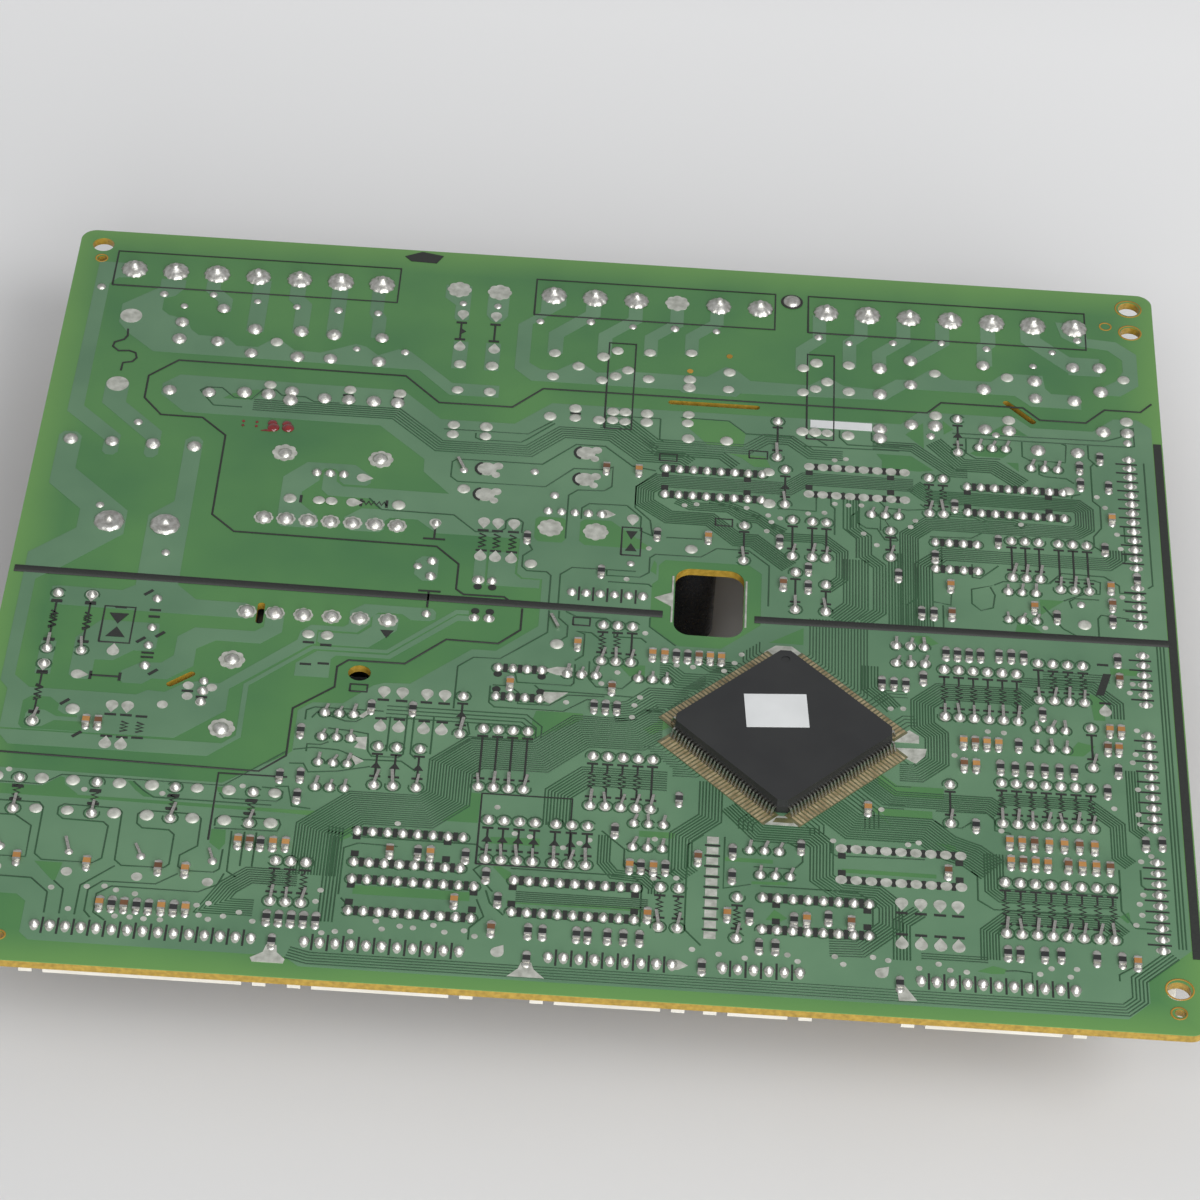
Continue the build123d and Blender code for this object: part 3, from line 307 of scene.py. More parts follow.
def turned(name, profile, sides, lobes=0, depth=0.0):
    """A turned shape from (radius, height) points, outermost first, with a wavy rim if it has lobes."""
    vertices = []
    rim = profile[0][0]
    for radius, height in profile[:-1]:
        for i in range(sides):
            angle = math.tau * i / sides
            wave = 1 - depth * (radius / rim) ** 2 * (0.5 - 0.5 * math.cos(lobes * angle)) if lobes else 1
            vertices.append((radius * wave * math.cos(angle), radius * wave * math.sin(angle), height))
    vertices.append((0, 0, profile[-1][1]))
    faces = []
    for ring in range(len(profile) - 2):
        for i in range(sides):
            j = (i + 1) % sides
            a, b = ring * sides, (ring + 1) * sides
            faces.append((a + i, a + j, b + j, b + i))
    last = (len(profile) - 2) * sides
    for i in range(sides):
        faces.append((last + i, last + (i + 1) % sides, len(vertices) - 1))
    return mesh_object(name, vertices, faces, solder, smooth=True)


def blocks(name, boxes):
    """One mesh of boxes given as (x, y, z, width, depth, height) from their middles, z from the base."""
    vertices, faces = [], []
    for x, y, z, width, depth, height in boxes:
        base = len(vertices)
        for dz in (0, height):
            for dx, dy in ((-1, -1), (1, -1), (1, 1), (-1, 1)):
                vertices.append((x + dx * width / 2, y + dy * depth / 2, z + dz))
        faces += [(base + 3, base + 2, base + 1, base), (base + 4, base + 5, base + 6, base + 7)]
        for i in range(4):
            j = (i + 1) % 4
            faces.append((base + i, base + j, base + 4 + j, base + 4 + i))
    return mesh_object(name, vertices, faces, solder)


# ---------------------------------------------------------------- Geometry Nodes


def new_tree(name, inputs):
    """A geometry tree with named inputs, as (name, socket type), after its geometry."""
    tree = bpy.data.node_groups.new(name, "GeometryNodeTree")
    tree.interface.new_socket("Geometry", in_out="INPUT", socket_type="NodeSocketGeometry")
    for label, kind in inputs:
        tree.interface.new_socket(label, in_out="INPUT", socket_type=kind)
    tree.interface.new_socket("Geometry", in_out="OUTPUT", socket_type="NodeSocketGeometry")
    return tree, add_node(tree, "NodeGroupInput").outputs


def end_tree(tree, geometry, finish):
    """Realizes the instances, sets the material and ends the tree."""
    real = add_node(tree, "GeometryNodeRealizeInstances", {0: geometry}).outputs[0]
    painted = add_node(tree, "GeometryNodeSetMaterial", {"Geometry": real, "Material": finish}).outputs[0]
    add_node(tree, "NodeGroupOutput", {0: painted})


# What tells the second lean's random number from the first one's
OTHER_LEAN_ID = 7919.0


def scatter_tree():
    """A tree that puts a shape on every point, turned as the point says, uneven in size and lean."""
    tree, given = new_tree(
        "scatter",
        [
            ("Shape", "NodeSocketObject"),
            ("Size Spread", "NodeSocketFloat"),
            ("Lean", "NodeSocketFloat"),
            ("Seed", "NodeSocketInt"),
            ("Finish", "NodeSocketMaterial"),
        ],
    )
    shape = add_node(tree, "GeometryNodeObjectInfo", {"Object": given["Shape"]}).outputs["Geometry"]
    own_turn = add_node(tree, "GeometryNodeInputNamedAttribute", {"Name": "turn"}, data_type="FLOAT")
    index = add_node(tree, "GeometryNodeInputIndex").outputs[0]
    least_lean = calculated(tree, "MULTIPLY", given["Lean"], -1.0)
    leans = []
    for shift in (0.0, OTHER_LEAN_ID):
        limits = {2: least_lean, 3: given["Lean"], "Seed": given["Seed"]}
        limits["ID"] = calculated(tree, "ADD", index, shift)
        leans.append(add_node(tree, "FunctionNodeRandomValue", limits, data_type="FLOAT").outputs[1])
    turns = {0: leans[0], 1: leans[1], 2: own_turn.outputs[0]}
    rotation = add_node(tree, "ShaderNodeCombineXYZ", turns).outputs[0]
    small = calculated(tree, "SUBTRACT", 1.0, given["Size Spread"])
    large = calculated(tree, "ADD", 1.0, given["Size Spread"])
    sizes = {2: small, 3: large, "Seed": given["Seed"]}
    scale = add_node(tree, "FunctionNodeRandomValue", sizes, data_type="FLOAT").outputs[1]
    instances = {"Points": given["Geometry"], "Instance": shape, "Rotation": rotation, "Scale": scale}
    placed = add_node(tree, "GeometryNodeInstanceOnPoints", instances).outputs[0]
    end_tree(tree, placed, given["Finish"])
    return tree


def strip_tree():
    """A tree that sweeps a flat rectangular section along every path."""
    tree, given = new_tree(
        "strip",
        [("Width", "NodeSocketFloat"), ("Thickness", "NodeSocketFloat"), ("Finish", "NodeSocketMaterial")],
    )
    path = add_node(tree, "GeometryNodeMeshToCurve", {"Mesh": given["Geometry"]}).outputs[0]
    upright = add_node(tree, "GeometryNodeSetCurveNormal", {"Curve": path}, mode="Z_UP").outputs[0]
    sizes = {"Width": given["Width"], "Height": given["Thickness"]}
    section = add_node(tree, "GeometryNodeCurvePrimitiveQuadrilateral", sizes).outputs[0]
    curves = {"Curve": upright, "Profile Curve": section, "Fill Caps": True}
    swept = add_node(tree, "GeometryNodeCurveToMesh", curves).outputs[0]
    end_tree(tree, swept, given["Finish"])
    return tree


SCATTER = scatter_tree()
STRIP = strip_tree()


def grown(thing, tree, values):
    """Runs a tree on an object with the given inputs and keeps the result as a plain mesh."""
    modifier = thing.modifiers.new(tree.name, "NODES")
    modifier.node_group = tree
    for item in tree.interface.items_tree:
        if item.in_out == "INPUT" and item.name in values:
            modifier[item.identifier] = values[item.name]
    bpy.context.view_layer.update()
    shown = thing.evaluated_get(bpy.context.evaluated_depsgraph_get())
    mesh = bpy.data.meshes.new_from_object(shown)
    thing.modifiers.remove(modifier)
    mesh.name = thing.name
    thing.data = mesh
    return thing


def scatter(name, places, shape, finish, size_spread=0.0, lean=0.0, seed=1):
    """One object with the shape at every place (x, y, z, turn)."""
    mesh = bpy.data.meshes.new(name)
    mesh.from_pydata([(x * MM, y * MM, z * MM) for x, y, z, turn in places], [], [])
    turns = mesh.attributes.new("turn", "FLOAT", "POINT")
    turns.data.foreach_set("value", [turn for x, y, z, turn in places])
    values = {"Shape": shape, "Size Spread": size_spread, "Lean": lean, "Seed": seed, "Finish": finish}
    return grown(linked(name, mesh), SCATTER, values)


def strips(name, paths, width, height, material):
    """One object of flat strips along the paths, their tops at the given height above the board."""
    vertices, edges = [], []
    for number, path in enumerate(paths):
        start = len(vertices)
        level = TOP + (height - SUNK) / 2 + HAIR * (number % LAYERS)
        vertices += [(x * MM, y * MM, level * MM) for x, y in path]
        edges += [(i, i + 1) for i in range(start, len(vertices) - 1)]
    mesh = bpy.data.meshes.new(name)
    mesh.from_pydata(vertices, edges, [])
    values = {"Width": width * MM, "Thickness": (height + SUNK) * MM, "Finish": material}
    return grown(linked(name, mesh), STRIP, values)


def laid(thing):
    """Lets a thing made on the board ride with it."""
    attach(thing, "root")
    return thing


def joined(name, parts):
    """Joins objects into one."""
    bpy.ops.object.select_all(action="DESELECT")
    for part in parts:
        part.select_set(True)
    bpy.context.view_layer.objects.active = parts[0]
    bpy.ops.object.join()
    parts[0].name = name
    parts[0].data.name = name
    return parts[0]


# ---------------------------------------------------------------- places read from the CAD model


def islands(node):
    """The corner points of each separate solid in a CAD node, in millimetres."""
    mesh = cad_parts[node].data
    group = {}

    def root(key):
        while group[key] != key:
            group[key] = group[group[key]]
            key = group[key]
        return key

    keys = [tuple(round(c / MM, 3) for c in v.co) for v in mesh.vertices]
    for key in keys:
        group.setdefault(key, key)
    for polygon in mesh.polygons:
        first = root(keys[polygon.vertices[0]])
        for index in polygon.vertices[1:]:
            group[root(keys[index])] = first
    found = {}
    for key in group:
        found.setdefault(root(key), []).append(key)
    return list(found.values())


def extents(points):
    """How wide and deep a set of points is, along X and Y."""
    xs = [p[0] for p in points]
    ys = [p[1] for p in points]
    return max(xs) - min(xs), max(ys) - min(ys)


def middle(points):
    """The middle of a set of points' bounds, as (x, y)."""
    xs = [p[0] for p in points]
    ys = [p[1] for p in points]
    return (min(xs) + max(xs)) / 2, (min(ys) + max(ys)) / 2


WIDEST_LEAD = 3.0
SAME_HEIGHT = 0.01


def wire_ends(*nodes):
    """Where the leads of some nodes come up to the board, as (x, y). A jumper wire has two such ends."""
    places = []
    for points in [points for node in nodes for points in islands(node)]:
        high = max(p[2] for p in points)
        ends = []
        for point in [p for p in points if p[2] > high - SAME_HEIGHT]:
            near = [end for end in ends if math.dist(end[0], point) < WIDEST_LEAD]
            if near:
                near[0].append(point)
            else:
                ends.append([point])
        places += [middle(end) for end in ends]
    return places


# ---------------------------------------------------------------- finishes of the CAD nodes that stay

FINISHES = [
    (laminate, ["circuit_board"]),
    (label_paper, ["controller_label"]),
    (
        chip_epoxy,
        [
            "controller_chip", "bridge_rectifier", "switching_controller", "rectifier_diode",
            "voltage_regulator", "dual_inline_chips", "optocoupler", "small_transistors", "diodes",
        ],
    ),
    (
        tinned_wire,
        [
            "controller_leads", "power_pins", "header_pins", "relay_pins", "transformer_pins",
            "disc_capacitor_leads", "bridge_rectifier_legs", "heat_sink_pins", "power_package_leads",
            "dual_inline_legs", "optocoupler_legs", "transistor_leads", "axial_leads", "jumper_wires",
        ],
    ),
    (relay_case, ["motor_relays", "slim_relays", "narrow_relays", "transformer_bobbin"]),
    (winding_tape, ["transformer_winding"]),
    (ferrite, ["transformer_core", "ferrite_beads"]),
    (black_sleeve, ["bulk_capacitor", "electrolytic_capacitors"]),
    (dipped_ceramic, ["disc_capacitors"]),
    (aluminium, ["switch_heat_sink", "rectifier_heat_sink"]),
    (resistor_lacquer, ["resistors", "power_resistors"]),
    (nylon, [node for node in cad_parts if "_header" in node]),
]
for finish, nodes in FINISHES:
    for node in nodes:
        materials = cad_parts[node].data.materials
        materials.clear()
        materials.append(finish)

# ---------------------------------------------------------------- solder

# Small joints: a smooth skirt on the pad, a cone and the cut end of the lead
small_joint = turned(
    "small_joint", [(0.95, 0.02), (0.86, 0.28), (0.6, 0.52), (0.38, 0.72), (0.2, 0.9), (0, 0.95)], 10
)
relay_joint = turned(
    "relay_joint", [(1.4, 0.02), (1.28, 0.34), (0.95, 0.62), (0.6, 0.84), (0.3, 1.05), (0, 1.1)], 14
)
petal_joint = turned(
    "petal_joint",
    [(2.55, 0.02), (2.42, 0.3), (2.05, 0.6), (1.5, 0.9), (0.95, 1.15), (0.7, 1.6), (0.5, 1.9), (0, 2.0)],
    48, lobes=12, depth=0.08,
)
eyelet_joint = turned(
    "eyelet_joint",
    [(2.85, 0.02), (2.6, 0.45), (2.1, 0.75), (1.4, 0.6), (0.9, 0.85), (0.55, 1.25), (0.3, 1.5), (0, 1.55)],
    32, lobes=9, depth=0.05,
)
templates = [small_joint, relay_joint, petal_joint, eyelet_joint]


def stand(places):
    """Places on top of the board as (x, y, z, turn)."""
    return [(x, y, TOP, 0.0) for x, y in places]


def middles(node):
    """The middle of each solid of a node, as (x, y)."""
    return [middle(points) for points in islands(node)]


petals = scatter(
    "power_joints", stand(middles("power_pins")), petal_joint, solder, size_spread=0.04, lean=0.05, seed=3
)
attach(petals, "root")
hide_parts("power_solder_joints")

eyelets = scatter(
    "bulk_capacitor_joints", stand(middles("capacitor_eyelets")), eyelet_joint, solder, lean=0.04, seed=4
)
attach(eyelets, "root")
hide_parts("capacitor_eyelets")

pin_places = wire_ends(
    "header_pins", "dual_inline_legs", "transistor_leads", "optocoupler_legs", "power_package_leads",
    "disc_capacitor_leads", "axial_leads", "jumper_wires",
)
pin_joints = scatter(
    "small_joints", stand(pin_places), small_joint, solder, size_spread=0.08, lean=0.12, seed=5
)
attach(pin_joints, "root")

wide_places = wire_ends("relay_pins", "transformer_pins", "bridge_rectifier_legs", "heat_sink_pins")
wide_joints = scatter(
    "relay_joints", stand(wide_places), relay_joint, solder, size_spread=0.06, lean=0.08, seed=6
)
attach(wide_joints, "root")

# ---------------------------------------------------------------- chip parts

CHIP_LENGTH = 2.0
CHIP_WIDTH = 1.25
CAP_LENGTH = 0.42
FILLET = 0.45
# The body reaches into its end caps a little. They are wider and higher than the body.
CAP_LAP = 0.05
CAP_WIDTH = 1.27
CAP_PROUD = 0.03


def chip_parts(node, body_height, finishes):
    """Chip parts over their CAD blocks: a body, two soldered end caps and the fillets beyond them."""
    places = middles(node)
    bare_length = CHIP_LENGTH - 2 * CAP_LENGTH + 2 * CAP_LAP
    body = blocks("chip_body", [(0, 0, 0.05, CHIP_WIDTH, bare_length, body_height)])
    end = (CHIP_LENGTH - CAP_LENGTH) / 2
    cap_height = body_height + CAP_PROUD
    ends = blocks("chip_ends", [(0, y, 0.04, CAP_WIDTH, CAP_LENGTH, cap_height) for y in (-end, end)])
    fillets = turned("chip_fillet", [(0.78, 0.0), (0.7, 0.2), (0.45, 0.38), (0, 0.45)], 10)
    templates.extend([body, ends, fillets])
    made = []
    for number, finish in enumerate(finishes):
        share = stand(places[number::len(finishes)])
        made.append(scatter(node + "_bodies", share, body, finish, seed=11))
    made.append(scatter(node + "_ends", stand(places), ends, solder, seed=12))
    past = (CHIP_LENGTH + FILLET) / 2
    beyond = stand([(x, y + side * past) for x, y in places for side in (-1, 1)])
    made.append(scatter(node + "_fillets", beyond, fillets, solder, size_spread=0.1, lean=0.1, seed=13))
    thing = joined(node + "_dressed", made)
    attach(thing, "root")
    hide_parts(node)
    return thing


chip_parts("chip_resistors", 0.5, [resistor_glaze])
chip_parts("chip_capacitors", 0.8, [capacitor_tan, capacitor_tan, capacitor_brown])

# ---------------------------------------------------------------- copper, gaps and bare patches, listed

# The logic side is copper nearly all over, split by etched gaps. It meets itself under the thick stripe.
SEAM_Y = -3.6
LOGIC_COPPER_BACK = [
    (-83.5, 48.5), (-83.5, 51.5), (-80.5, 54.4), (-38.3, 53.8), (-30.8, 46.2), (-17, 46.2), (-10.3, 52.9),
    (12, 52.9), (55.3, 53.2), (58.8, 57.2), (77, 57.2), (79.8, 54.5), (91.5, 54.6), (95.5, 58.6),
    (100, 58.8), (102.6, 56.5), (102.6, SEAM_Y), (29.9, SEAM_Y), (29.9, 8.5), (27.5, 10.7), (12.4, 10.7),
    (11.3, 9.2), (11.3, 5.2), (10.2, 3.9), (10.2, SEAM_Y), (-9.5, SEAM_Y), (-9.5, 3.4), (-13.1, 3.5),
    (-14.1, 4.6), (-14.1, 14), (-29.3, 14), (-33, 17.4), (-38, 17.4), (-38.9, 16.5), (-38.9, 14.1),
    (-39.8, 13.3), (-45, 13.3), (-46.3, 14.5), (-46.3, 16.8), (-43.4, 19.5), (-39.8, 19.6), (-42.3, 22.4),
    (-49.8, 22.5), (-51.1, 24.1), (-51.1, 28.9), (-50.4, 29.5), (-49.2, 29.5), (-48.6, 28.5),
    (-48.6, 26.6), (-47.3, 25.3), (-27.8, 25.1), (-32.9, 30.9), (-33, 34.4), (-42, 43.3), (-78.6, 43.6),
]
LOGIC_COPPER_FRONT = [
    (102.6, SEAM_Y), (102.6, -78.2), (95.2, -85.6), (95.2, -90.5), (91.5, -94.3), (-44, -94.3),
    (-46.5, -92.3), (-88.4, -92.2), (-90, -90.6), (-90, -83.6), (-91.7, -82.1), (-99, -82),
    (-101.5, -79.5), (-101.5, -52.8), (-60.9, -53.3), (-50.8, -45.6), (-49.8, -44.6), (-49.8, -34.4),
    (-47.4, -32.2), (-42.2, -32), (-37.3, -27), (-35.5, -26.2), (-31, -26), (-20.8, -16.2),
    (-16.6, -16.2), (-9.5, -9.1), (-9.5, SEAM_Y), (10.2, SEAM_Y), (10.2, -7.3), (13.8, -10.9),
    (15.5, -12), (23, -12), (25.3, -9.8), (29.9, -5.2), (29.9, SEAM_Y),
]

# Mains tracks and pours on bare laminate
MAINS_COPPER = [
    # tracks down the left edge
    [(-100, 87.2), (-91.5, 87.2), (-90.8, 84.5), (-92.5, 82.8), (-95.7, 82.6), (-97.3, 80.6), (-97.3, 43.6),
     (-89.4, 35.8), (-89.4, 31), (-90.2, 30.1), (-91.6, 30.1), (-92.3, 31), (-92.3, 34.2), (-100.2, 41.8)],
    [(-94.1, 51), (-93.2, 52.4), (-90.6, 52.4), (-89.7, 51), (-89.7, 45.4), (-82, 37.6), (-82, 31),
     (-82.8, 30), (-84, 30), (-84.6, 31), (-84.6, 34.9), (-94.1, 44.8)],
    # the left relay pour
    [(-87.5, 83), (-82.7, 83), (-82.7, 80.5), (-84.2, 78), (-86.3, 77), (-86.3, 73.5), (-84.8, 72),
     (-81.3, 71), (-80, 68), (-78.5, 66.5), (-73, 66.3), (-71, 64), (-67, 64), (-64.5, 66.5), (-62.5, 66.3),
     (-60, 63.8), (-55, 63.5), (-51, 65.5), (-48.5, 66.8), (-46.5, 66.2), (-44, 63.8), (-40.3, 66),
     (-38, 65.6), (-31, 58.6), (-29.5, 57), (-20.5, 57), (-20.5, 53.5), (-29.8, 53.5), (-36, 60.2),
     (-86.5, 60.8), (-92, 66), (-94, 69), (-94, 74.5), (-87.5, 80.3)],
    # two wide pads and the links below them
    [(-32.6, 86.7), (-27.6, 86.7), (-27.6, 76.5), (-28.2, 75.9), (-29.8, 75.9), (-30.4, 76.5),
     (-30.4, 80.6), (-32.6, 82.8)],
    [(-24.3, 86.7), (-20.2, 86.7), (-20.2, 78.2), (-21, 76.6), (-21.6, 76.1), (-22.8, 76.1),
     (-23.4, 76.6), (-24.3, 78.2)],
    # the middle and right relay pours
    [(-18, 76), (-14, 80), (-14, 86.5), (-9.2, 86.5), (-9.2, 82.5), (-15.3, 76.2), (-15.3, 64.5),
     (-13, 62.7), (-10, 62.7), (-6, 66), (-2.5, 62.8), (0, 63), (3.5, 65.5), (5, 63.7), (18.5, 63.6),
     (22, 67), (24, 66.3), (26.8, 63.2), (38, 63), (41.4, 66), (44.5, 63.5), (50.8, 63), (54.5, 66.4),
     (57.5, 66.5), (60.8, 69.8), (62.5, 70), (65, 67.4), (72.6, 67.5), (75, 70.3), (82.5, 70.3),
     (82.9, 66.5), (84, 65), (89.6, 65), (89.6, 60.9), (80, 60.9), (77, 63.8), (56.3, 63.8), (52.5, 60),
     (25, 59.3), (24.2, 58.2), (14, 58.5), (13.3, 59.2), (-14.7, 59.2), (-18, 62.5)],
    [(85.5, 87), (91, 87), (91.5, 82.5), (97, 82), (100.8, 78.5), (100.8, 69), (97.2, 65.6), (93, 65.6),
     (92, 66.4), (93, 67.3), (96.5, 70), (98, 73), (98, 76.5), (95.3, 79.3), (90, 80), (86.5, 82.5)],
    # bridge rectifier to the bulk capacitor and on to the switching side
    [(-100.7, 34.8), (-99.8, 36), (-97.6, 36), (-96.5, 34.8), (-96.5, 25.7), (-85.5, 14.8), (-85.5, 8.4),
     (-95.5, -1.6), (-98, -3.6), (-99.5, -5), (-99.5, -30), (-96.6, -32.9), (-78, -33.1), (-76.2, -31.8),
     (-73.2, -32), (-70.4, -29.7), (-68, -28.8), (-64, -29), (-51.6, -16.6), (-51.2, -14.3), (-49.5, -12.5),
     (-43.8, -12.5), (-43, -11.7), (-43, -8.2), (-40.6, -6.2), (-28.5, -6.3), (-27.8, -7.2), (-27.8, -9),
     (-28.8, -9.6), (-32.2, -9.6), (-33.8, -8.2), (-38, -8.2), (-39.2, -9.6), (-39.2, -11.3),
     (-41.3, -13.7), (-48.3, -13.7), (-48.3, -17.2), (-49.5, -17.9), (-62.2, -30.2), (-62.2, -35.7),
     (-70.3, -43.2), (-100.3, -43.2), (-100.3, -33.5), (-101.8, -31.5), (-101.8, 2), (-94.1, 9.3),
     (-94.1, 14.5), (-100.7, 21.2)],
    [(-77.4, 35.5), (-76.3, 36.7), (-75, 36.7), (-74.1, 35.5), (-74.1, -4.3), (-70.5, -7.8), (-61.5, -7.9),
     (-60.4, -9), (-60.4, -11.2), (-61.5, -11.9), (-77, -11.8), (-94.8, -11.3), (-96.2, -10.5),
     (-96.2, -6.7), (-95, -6.4), (-83.8, -6.6), (-81.6, -5), (-81.6, 14), (-77.4, 18.2)],
    # the front band of the switching side
    [(-100.3, -43.6), (-100.3, -44.5), (-98.3, -47.1), (-64.2, -47.1), (-58.9, -42), (-58.9, -29),
     (-48.5, -18.7), (-35.5, -18.6), (-24, -7.2), (-22, -7.2), (-22, -6.2), (-24.3, -6.2), (-35.8, -17.8),
     (-48.8, -17.9), (-59.8, -28.7), (-59.8, -41.6), (-62, -43.8), (-77.4, -43.8), (-77.4, -43.6)],
    # clamp parts of the transformer's primary
    [(-57.8, -11.5), (-57.8, -13.8), (-59.3, -15.1), (-69.8, -15.1), (-72.6, -17.7), (-72.7, -22.6),
     (-74.7, -24.7), (-78.2, -24.9), (-81.3, -27.3), (-81.6, -29), (-80.8, -30.3), (-77.4, -30.3),
     (-75.8, -28.8), (-73.2, -28.8), (-69, -25), (-69, -20.5), (-65.8, -18.1), (-58, -18.2),
     (-54.5, -14.9), (-54.5, -10.5), (-57.5, -10.3)],
    [(-86.4, -14.6), (-76.2, -14.7), (-76, -15.5), (-76, -21), (-76.8, -21.9), (-79.9, -22),
     (-83.1, -24.8), (-86.3, -24.9), (-86.3, -29), (-87, -30), (-89.5, -30), (-90.3, -29),
     (-90.3, -19.5)],
    [(-96.2, -20.8), (-93.5, -20.8), (-93.5, -29.3), (-96.2, -29.3)],
    [(-48.1, -14.2), (-41, -14.2), (-38.9, -12), (-38.9, -9), (-38, -8.6), (-35.2, -8.6), (-34.2, -9.4),
     (-34.4, -12.6), (-39, -17.4), (-47.3, -17.4), (-48.1, -16.7)],
    [(-51.3, -25.8), (-51.3, -22.5), (-47.8, -19.1), (-35.5, -19.1), (-24, -7.6), (-21.5, -7.6),
     (-21.5, -9), (-23.8, -9), (-35, -20), (-44.5, -20), (-45.3, -21), (-45.3, -25.8)],
    # islands between the windings
    [(-58.4, 27), (-54.3, 31.5), (-45.5, 31.5), (-42.3, 28.5), (-42.3, 26.7), (-43, 25.9), (-47.2, 25.9),
     (-48.1, 26.9), (-48.1, 29), (-49.1, 30), (-51, 30), (-51.7, 29), (-51.7, 26.6), (-54.6, 23.1),
     (-54.6, 20), (-51.2, 16.6), (-50.8, 13.8), (-51.5, 13.3), (-57.6, 13.3), (-58.4, 14.3)],
    [(-31.4, 7.5), (-29, 7.6), (-28.3, 6.8), (-28.3, 2), (-29, 1), (-31, 1), (-32.5, 2.6), (-32.5, 6.2)],
    [(-21.9, 10), (-19.8, 10), (-19.8, 0.9), (-21.9, 0.9)],
    [(-19.4, 10), (-14.5, 10), (-14.5, 4.4), (-13.3, 3.1), (-9.9, 3.1), (-9.9, 0.9), (-19.4, 0.9)],
]

# Straight mains tracks: width and path
MAINS_TRACKS = [
    (2.7, [(-77.3, 84.5), (-77.3, 80.5), (-74.5, 77.5), (-74.5, 74.2)]),
    (3.3, [(-68, 84.5), (-68, 68.6)]),
    (3.0, [(-61, 84.5), (-61, 79.5), (-59.4, 77.5), (-59.4, 68.8)]),
    (3.1, [(-52.9, 84.5), (-52.9, 68.6)]),
    (2.6, [(-45.4, 84.5), (-45.4, 76.5), (-44.6, 75), (-44.6, 69)]),
    (2.8, [(-28.6, 69.6), (-28.6, 61.4)]),
    (2.8, [(-22.4, 69.6), (-22.4, 61.4)]),
    (2.9, [(-3.9, 84.5), (-3.9, 80.5), (-10.6, 73.5), (-10.6, 67.8)]),
    (2.7, [(4.3, 84.5), (4.3, 79.5), (-1.2, 74), (-1.2, 67.8)]),
    (2.6, [(12.3, 84.5), (12.3, 79), (7.6, 74.3), (7.6, 68.8)]),
    (2.6, [(20, 84.5), (20, 80), (15.4, 75.4), (15.4, 69.8)]),
    (2.6, [(39.8, 84.5), (39.8, 77), (36.6, 73.5), (36.6, 67.4)]),
    (2.6, [(47.8, 84.5), (47.8, 79), (45.6, 76.6), (45.6, 69)]),
    (2.7, [(56, 84.5), (56, 78.5), (51.3, 73.8), (51.3, 68.8)]),
    (2.7, [(63.5, 84.5), (63.5, 78.5), (57.3, 72.4)]),
    (2.9, [(72.3, 84.5), (72.3, 79), (71.5, 78), (71.5, 72.2)]),
    (3.8, [(80.5, 84.5), (80.5, 81), (88, 73.8), (93.6, 73.8)]),
    (5.4, [(87.5, 73.8), (93.6, 73.8)]),
]

